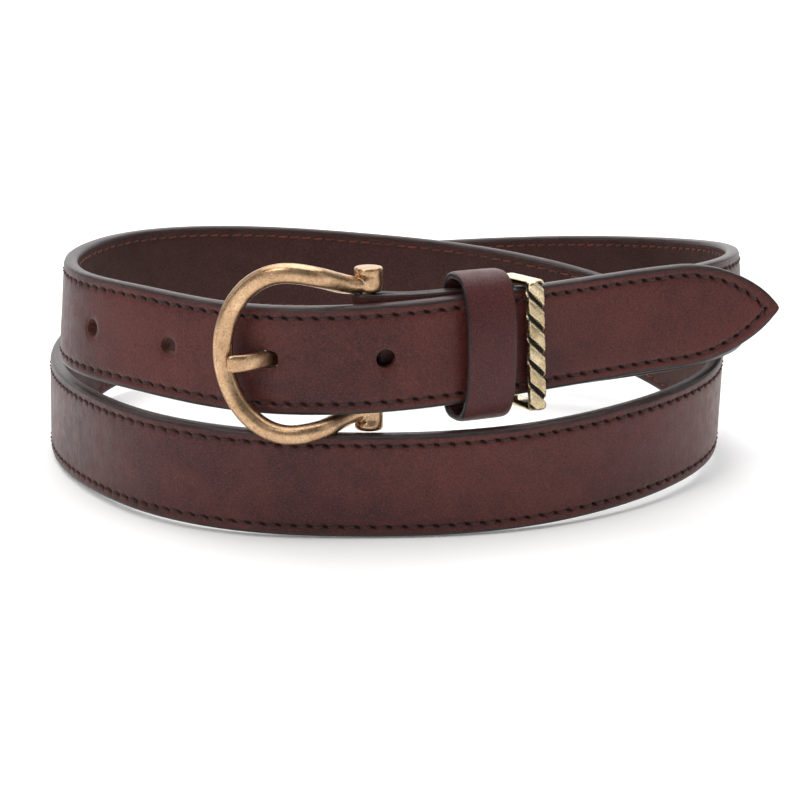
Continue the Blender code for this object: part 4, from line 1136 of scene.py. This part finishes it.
eye_rows = [(-1.95, 2.5), (-1.9, 2.7), (-1.75, 2.85), (1.75, 2.85), (1.9, 2.7), (1.95, 2.5)]
v, f = skin([pc + np.stack([r * np.cos(ang), r * np.sin(ang), np.full(64, z)], 1) for z, r in eye_rows])
cut(prong, [mesh_object("eye", v, f, 0)], "UNION")
remesh_smooth(prong, 0.13, 10)
cut(prong, [tube("eye_bore", pc, -5, 5, 1.68)])
co = np.empty(len(prong.data.vertices) * 3)
prong.data.vertices.foreach_get("co", co)
no = np.empty(len(prong.data.vertices) * 3)
prong.data.vertices.foreach_get("normal", no)
co, no = co.reshape(-1, 3), no.reshape(-1, 3)
co += no * (hash_noise(co / MM, 0.6, 5.0) * 0.006)[:, None] * MM
prong.data.vertices.foreach_set("co", co.ravel())
prong.data.update()
prong.data.materials.clear()
prong.data.materials.append(BUCKLE_MAT)
set_smooth(prong, 55)

# --------------------------------------------------------------- leather keeper
LK_HALF, LK_FRONT, LK_BACK, LK_THICK, LK_WIDTH = 17.3, 8.2, 7.4, 1.9, 12.4
lk_c, lk_t, lk_u, lk_n = frame_at(s_at_x(19.6))
lean = math.radians(2.5)
lk_t, lk_u = (lk_t * math.cos(lean) + lk_u * math.sin(lean),
              lk_u * math.cos(lean) - lk_t * math.sin(lean))
lk_o = lk_c - lk_n * 4.3 - lk_u * 0.3


def loop_at(ang, high, front, back, pf, pb):
    ca, sa = math.cos(ang), math.sin(ang)
    deep, power = (front, pf) if ca >= 0 else (back, pb)
    return high * math.copysign(abs(sa) ** (2 / power), sa), deep * math.copysign(abs(ca) ** (2 / power), ca)


def keeper_mesh():
    count = 260
    fine = np.linspace(-math.pi, math.pi, 4001)
    pts = np.array([loop_at(a, LK_HALF, LK_FRONT, LK_BACK, 2.5, 3.2) for a in fine])
    dist = np.concatenate([[0], np.cumsum(np.linalg.norm(np.diff(pts, axis=0), axis=1))])
    target = np.linspace(0.2, dist[-1] - 0.2, count)
    angs = np.interp(target, dist, fine)
    rings, ed, uvs = [], [], []
    sides = 44
    th = np.arange(sides) * 2 * math.pi / sides
    for j, a in enumerate(angs):
        ho, do = loop_at(a, LK_HALF, LK_FRONT, LK_BACK, 2.5, 3.2)
        hi, di = loop_at(a, LK_HALF - LK_THICK, LK_FRONT - LK_THICK, LK_BACK - LK_THICK, 2.8, 3.4)
        if abs(ho) < 0.3 and do < 0:
            ho = math.copysign(0.2, a)
            hi = ho
        O = lk_o + lk_u * ho + lk_n * do
        I = lk_o + lk_u * hi + lk_n * di
        mid, half = (O + I) / 2, (O - I) / 2
        w = LK_WIDTH / 2
        cx = signed_power(np.cos(th), 2 / 7.0)
        cy = signed_power(np.sin(th), 2 / 3.0)
        ring = mid + lk_t * (w * cx)[:, None] + half * cy[:, None]
        rings.append(ring)
        edge = np.clip((np.abs(cx) * w - (w - 0.55)) / 0.35, 0, 1)
        ed += list(edge)
        uvs += [(target[j] * MM, (w * x + 2.0 * y) * MM) for x, y in zip(cx, cy)]
    v, f = skin(rings)
    return mesh_object("leather_keeper_loop", v, f, 50, {"edge": ed}, uvs)


keeper = keeper_mesh()
keeper.data.materials.append(KEEPER_MAT)
legs = []
for sign in (1, -1):
    p = lk_o + lk_u * 2.5 * sign - lk_n * (LK_BACK - LK_THICK / 2)
    ang = np.arange(20) * 2 * math.pi / 20
    rings = [p + lk_n * dd + lk_u * (0.42 * np.cos(ang))[:, None] + lk_t * (0.42 * np.sin(ang))[:, None] for dd in (-2.2, 2.2)]
    v, f = skin(rings)
    leg = mesh_object("leg_%d" % sign, v, f, 0, {"edge": [0.0] * len(v)}, [(0.0, 0.0)] * len(v))
    legs.append(leg)
cut(keeper, legs)
set_smooth(keeper, 50)

# staple: round wire through both ends of the loop, clinched inside
w = 0.3
inside, outside = -(LK_BACK - LK_THICK - 0.3 - w), -(LK_BACK + 0.3 + w)
corner = [(0.9, inside), (1.7, inside), (2.25, inside - 0.05), (2.5, inside - 0.35), (2.5, -(LK_BACK - LK_THICK / 2)),
          (2.5, outside + 0.35), (2.25, outside + 0.05), (1.6, outside), (0.0, outside)]
wire = np.array(corner + [(-x, dd) for x, dd in reversed(corner[:-1])])
d = np.concatenate([[0], np.cumsum(np.linalg.norm(np.diff(wire, axis=0), axis=1))])
wire = natural_spline(d, wire, np.linspace(0, d[-1], 90))
g = np.gradient(wire, axis=0)
g /= np.linalg.norm(g, axis=1)[:, None]
ang = np.arange(16) * 2 * math.pi / 16
rings = []
for p, q in zip(wire, g):
    side = lk_u * q[1] - lk_n * q[0]
    rings.append(lk_o + lk_u * p[0] + lk_n * p[1] + side * (w * np.cos(ang))[:, None] + lk_t * (w * np.sin(ang))[:, None])
v, f = skin(rings)
staple = mesh_object("keeper_staple_wire", v, f, 50)
staple.data.materials.append(STAPLE_MAT)

# ----------------------------------------------------------------- metal keeper
MK_H, MK_P, MK_B, MK_W = 15.2, 1.5, 2.6, 4.4
mk_c, mk_t, mk_u, mk_n = frame_at(s_at_x(29.9))
mk_total = STACK + LAYER_GAP + FLAP_FACE
mk_o = mk_c - mk_n * mk_total / 2 - mk_u * 0.8
MK_IN = mk_total / 2 + 1.0


def rounded_box_line(h0, h1, d0, d1, r, steps_v, steps_h, steps_c):
    """Closed outline of a rounded rectangle as (height, depth), from the front top."""
    pts = []
    for z in np.linspace(h1 - r, h0 + r, steps_v):
        pts.append((z, d1))
    for a in np.linspace(0, math.pi / 2, steps_c + 2)[1:-1]:
        pts.append((h0 + r - r * math.sin(a), d1 - r + r * math.cos(a)))
    for dd in np.linspace(d1 - r, d0 + r, steps_h):
        pts.append((h0, dd))
    for a in np.linspace(0, math.pi / 2, steps_c + 2)[1:-1]:
        pts.append((h0 + r - r * math.cos(a), d0 + r - r * math.sin(a)))
    for z in np.linspace(h0 + r, h1 - r, 60):
        pts.append((z, d0))
    for a in np.linspace(0, math.pi / 2, steps_c + 2)[1:-1]:
        pts.append((h1 - r + r * math.sin(a), d0 + r - r * math.cos(a)))
    for dd in np.linspace(d0 + r, d1 - r, steps_h):
        pts.append((h1, dd))
    for a in np.linspace(0, math.pi / 2, steps_c + 2)[1:-1]:
        pts.append((h1 - r + r * math.cos(a), d1 - r + r * math.sin(a)))
    return np.array(pts)


GROOVE_PITCH, GROOVE_SLOPE = 5.3, 0.95


def metal_keeper_mesh():
    args = (340, 24, 8)
    outer = rounded_box_line(-MK_H, MK_H, -MK_IN - MK_P, MK_IN + MK_B, 0.9, *args)
    inner = rounded_box_line(-MK_H + MK_P, MK_H - MK_P, -MK_IN, MK_IN, 0.5, *args)
    sides = 64
    th = np.arange(sides) * 2 * math.pi / sides
    rings, groove_shade_values, plain = [], [], []
    for (ho, do), (hi, di) in zip(outer, inner):
        mid = np.array([(ho + hi) / 2, (do + di) / 2])
        half = np.array([(ho - hi) / 2, (do - di) / 2])
        front = np.clip((di + half[1] - (MK_IN - 0.2)) / 0.4, 0, 1) if do > MK_IN + 1.2 else 0.0
        power = 2.9 if front > 0.5 else 4.5
        cx = signed_power(np.cos(th), 2 / power)
        cy = signed_power(np.sin(th), 2 / power)
        lat = MK_W / 2 * cx                      # along the strap, + towards the buckle
        pos = mid[None] + half[None] * cy[:, None]
        shade = np.zeros(sides)
        if front > 0.5:
            # grooves wind round the front and both sides of the bar
            wrap = -lat + np.where(lat < 0, 1, -1) * np.clip(0.35 - cy, 0, 2) * half[1] * 0.9
            q = (pos[:, 0] + wrap * GROOVE_SLOPE + 0.35) / GROOVE_PITCH
            dist = np.abs((q + 0.5) % 1.0 - 0.5) * GROOVE_PITCH * 0.72
            reach = np.clip((cy + 0.75) / 0.5, 0, 1) * np.clip((MK_H + 0.2 - abs(ho)) / 1.0, 0, 1)
            depth = np.clip(1 - (dist / 0.52) ** 4, 0, 1) ** 0.7 * reach
            lip = np.exp(-((dist - 0.76) / 0.16) ** 2) * reach
            swell = np.cos(np.clip(dist / (GROOVE_PITCH * 0.36), 0, 1) * math.pi) * -0.10 * reach
            push = -0.85 * depth + 0.07 * lip + swell
            # painted shade mask: the deeper the groove, the darker its bottom is painted
            shade = np.clip(depth * 1.15, 0, 1)
            scale_x = 1 + push / (MK_W / 2) * np.abs(np.cos(th)) ** 1.5 * 0.8
            lat = lat * scale_x
            pos = pos + (half / max(np.linalg.norm(half), 1e-6))[None] * (push * np.clip(np.sin(th), 0, 1) ** 0.8)[:, None]
        rings.append(mk_o + mk_t * lat[:, None] + mk_u * pos[:, 0:1] + mk_n * pos[:, 1:2])
        groove_shade_values += list(shade)
        plain += [0.0 if front > 0.5 else 1.0] * sides
    v, f = skin(rings, closed_path=True)
    return mesh_object("metal_keeper_roped", v, f, 40, {"groove_shade": groove_shade_values, "plain": plain})


metal = metal_keeper_mesh()
metal.data.materials.append(KEEPER_BRASS_MAT)

# ------------------------------------------------------------- ride and replace
pairs = [
    (strap, "strap", "strap_outer_leather", "grain_leather"),
    (lining, "strap", "strap_lining", "lining_leather"),
    (face_stitches, "strap", "face_stitching", "thread"),
    (lining_stitches, "strap", "lining_stitching", "thread"),
    (turnback_stitches, "strap", "turnback_stitching", "thread"),
    (buckle, "frame", "buckle_frame", "buckle_brass"),
    (bar, "frame", "buckle_bar", "buckle_brass"),
    (prong, "prong", "buckle_prong", "buckle_brass"),
    (keeper, "leather_loop", "leather_keeper", "grain_leather"),
    (staple, "leather_loop", "keeper_staple", "staple_steel"),
    (metal, "metal_loop", "metal_keeper", "keeper_brass"),
]
for piece, body, node, slot in pairs:
    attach(piece, body)
    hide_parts(node)

# ------------------------------------------------------- floor, lights, camera
profile = [(-5.0, 0.0), (-3.0, 0.0)] + [(y, 0.0) for y in np.linspace(-1.2, 1.2, 13)]
profile += [(1.2 + 0.6 * math.sin(a), 0.6 - 0.6 * math.cos(a)) for a in np.linspace(0, math.pi / 2, 13)[1:]]
profile += [(1.8, z) for z in (0.9, 1.3, 1.8)]
bm = bmesh.new()
columns = [[bm.verts.new((x, y, z - 0.0002)) for y, z in profile] for x in np.linspace(-4.0, 4.0, 17)]
for left, right in zip(columns, columns[1:]):
    for i in range(len(profile) - 1):
        bm.faces.new((left[i], right[i], right[i + 1], left[i + 1])).smooth = True
mesh = bpy.data.meshes.new("floor")
bm.to_mesh(mesh)
bm.free()
floor = bpy.data.objects.new("floor", mesh)
bpy.context.scene.collection.objects.link(floor)
m = Nodes("floor_paper")
tone = m.noise(m.coords("Object"), 9.0, 2.0, 0.5)
m.set(Base_Color=m.ramp(tone, [(0.0, (0.90, 0.90, 0.90)), (1.0, (0.93, 0.93, 0.93))]))
m.shader.inputs["Roughness"].default_value = 0.9
m.shader.inputs["Emission Color"].default_value = (1.0, 1.0, 1.0, 1.0)
m.shader.inputs["Emission Strength"].default_value = 0.12
m.shader.inputs["Specular IOR Level"].default_value = 0.1
floor.data.materials.append(m.mat)
floor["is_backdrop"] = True


def area_light(name, location, target, size, power, colour=(1, 1, 1)):
    data = bpy.data.lights.new(name, "AREA")
    data.shape = "RECTANGLE"
    data.size, data.size_y = size
    data.energy = power
    data.color = colour
    obj = bpy.data.objects.new(name, data)
    obj.location = Vector(location)
    obj.rotation_euler = (Vector(target) - Vector(location)).to_track_quat("-Z", "Y").to_euler()
    bpy.context.scene.collection.objects.link(obj)
    return obj


area_light("top_softbox", (0.0, 0.15, 1.1), (0, 0.05, 0.0), (1.5, 1.3), 15.5)
area_light("key_softbox", (-0.40, -0.62, 0.62), (0, -0.05, 0.03), (0.28, 0.28), 2.3, (1.0, 0.985, 0.96))
area_light("front_strip", (-0.47, -0.78, 0.12), (0, -0.06, 0.045), (0.10, 0.45), 0.32, (1.0, 0.985, 0.96))
area_light("fill_softbox", (0.75, -0.45, 0.40), (0, 0, 0.03), (0.45, 0.6), 0.5)
area_light("left_strip", (-0.80, 0.06, 0.48), (-0.05, 0, 0.04), (0.25, 0.7), 0.60)
area_light("backdrop_light", (0.0, 0.9, 1.6), (0, 1.8, 0.7), (2.5, 0.6), 30.0)
world = bpy.data.worlds.new("studio")
bpy.context.scene.world = world
world.use_nodes = True
world.node_tree.nodes["Background"].inputs["Color"].default_value = (1.0, 1.0, 1.0, 1.0)
world.node_tree.nodes["Background"].inputs["Strength"].default_value = 0.20
bpy.context.scene.view_settings.view_transform = "Standard"

camera_data = bpy.data.cameras.new("camera")
camera_data.sensor_width = 36.0
camera_data.lens = 84.44
camera_data.clip_start = 0.01
camera = bpy.data.objects.new("camera", camera_data)
bpy.context.scene.collection.objects.link(camera)
camera.location = Vector([(0.0 + SHIFT[0]) * MM, (-470.97 + SHIFT[1]) * MM, (138.16 + SHIFT[2]) * MM])
camera.rotation_euler = (math.radians(90.0 - 14.414), 0.0, 0.0)
bpy.context.scene.camera = camera

low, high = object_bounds()
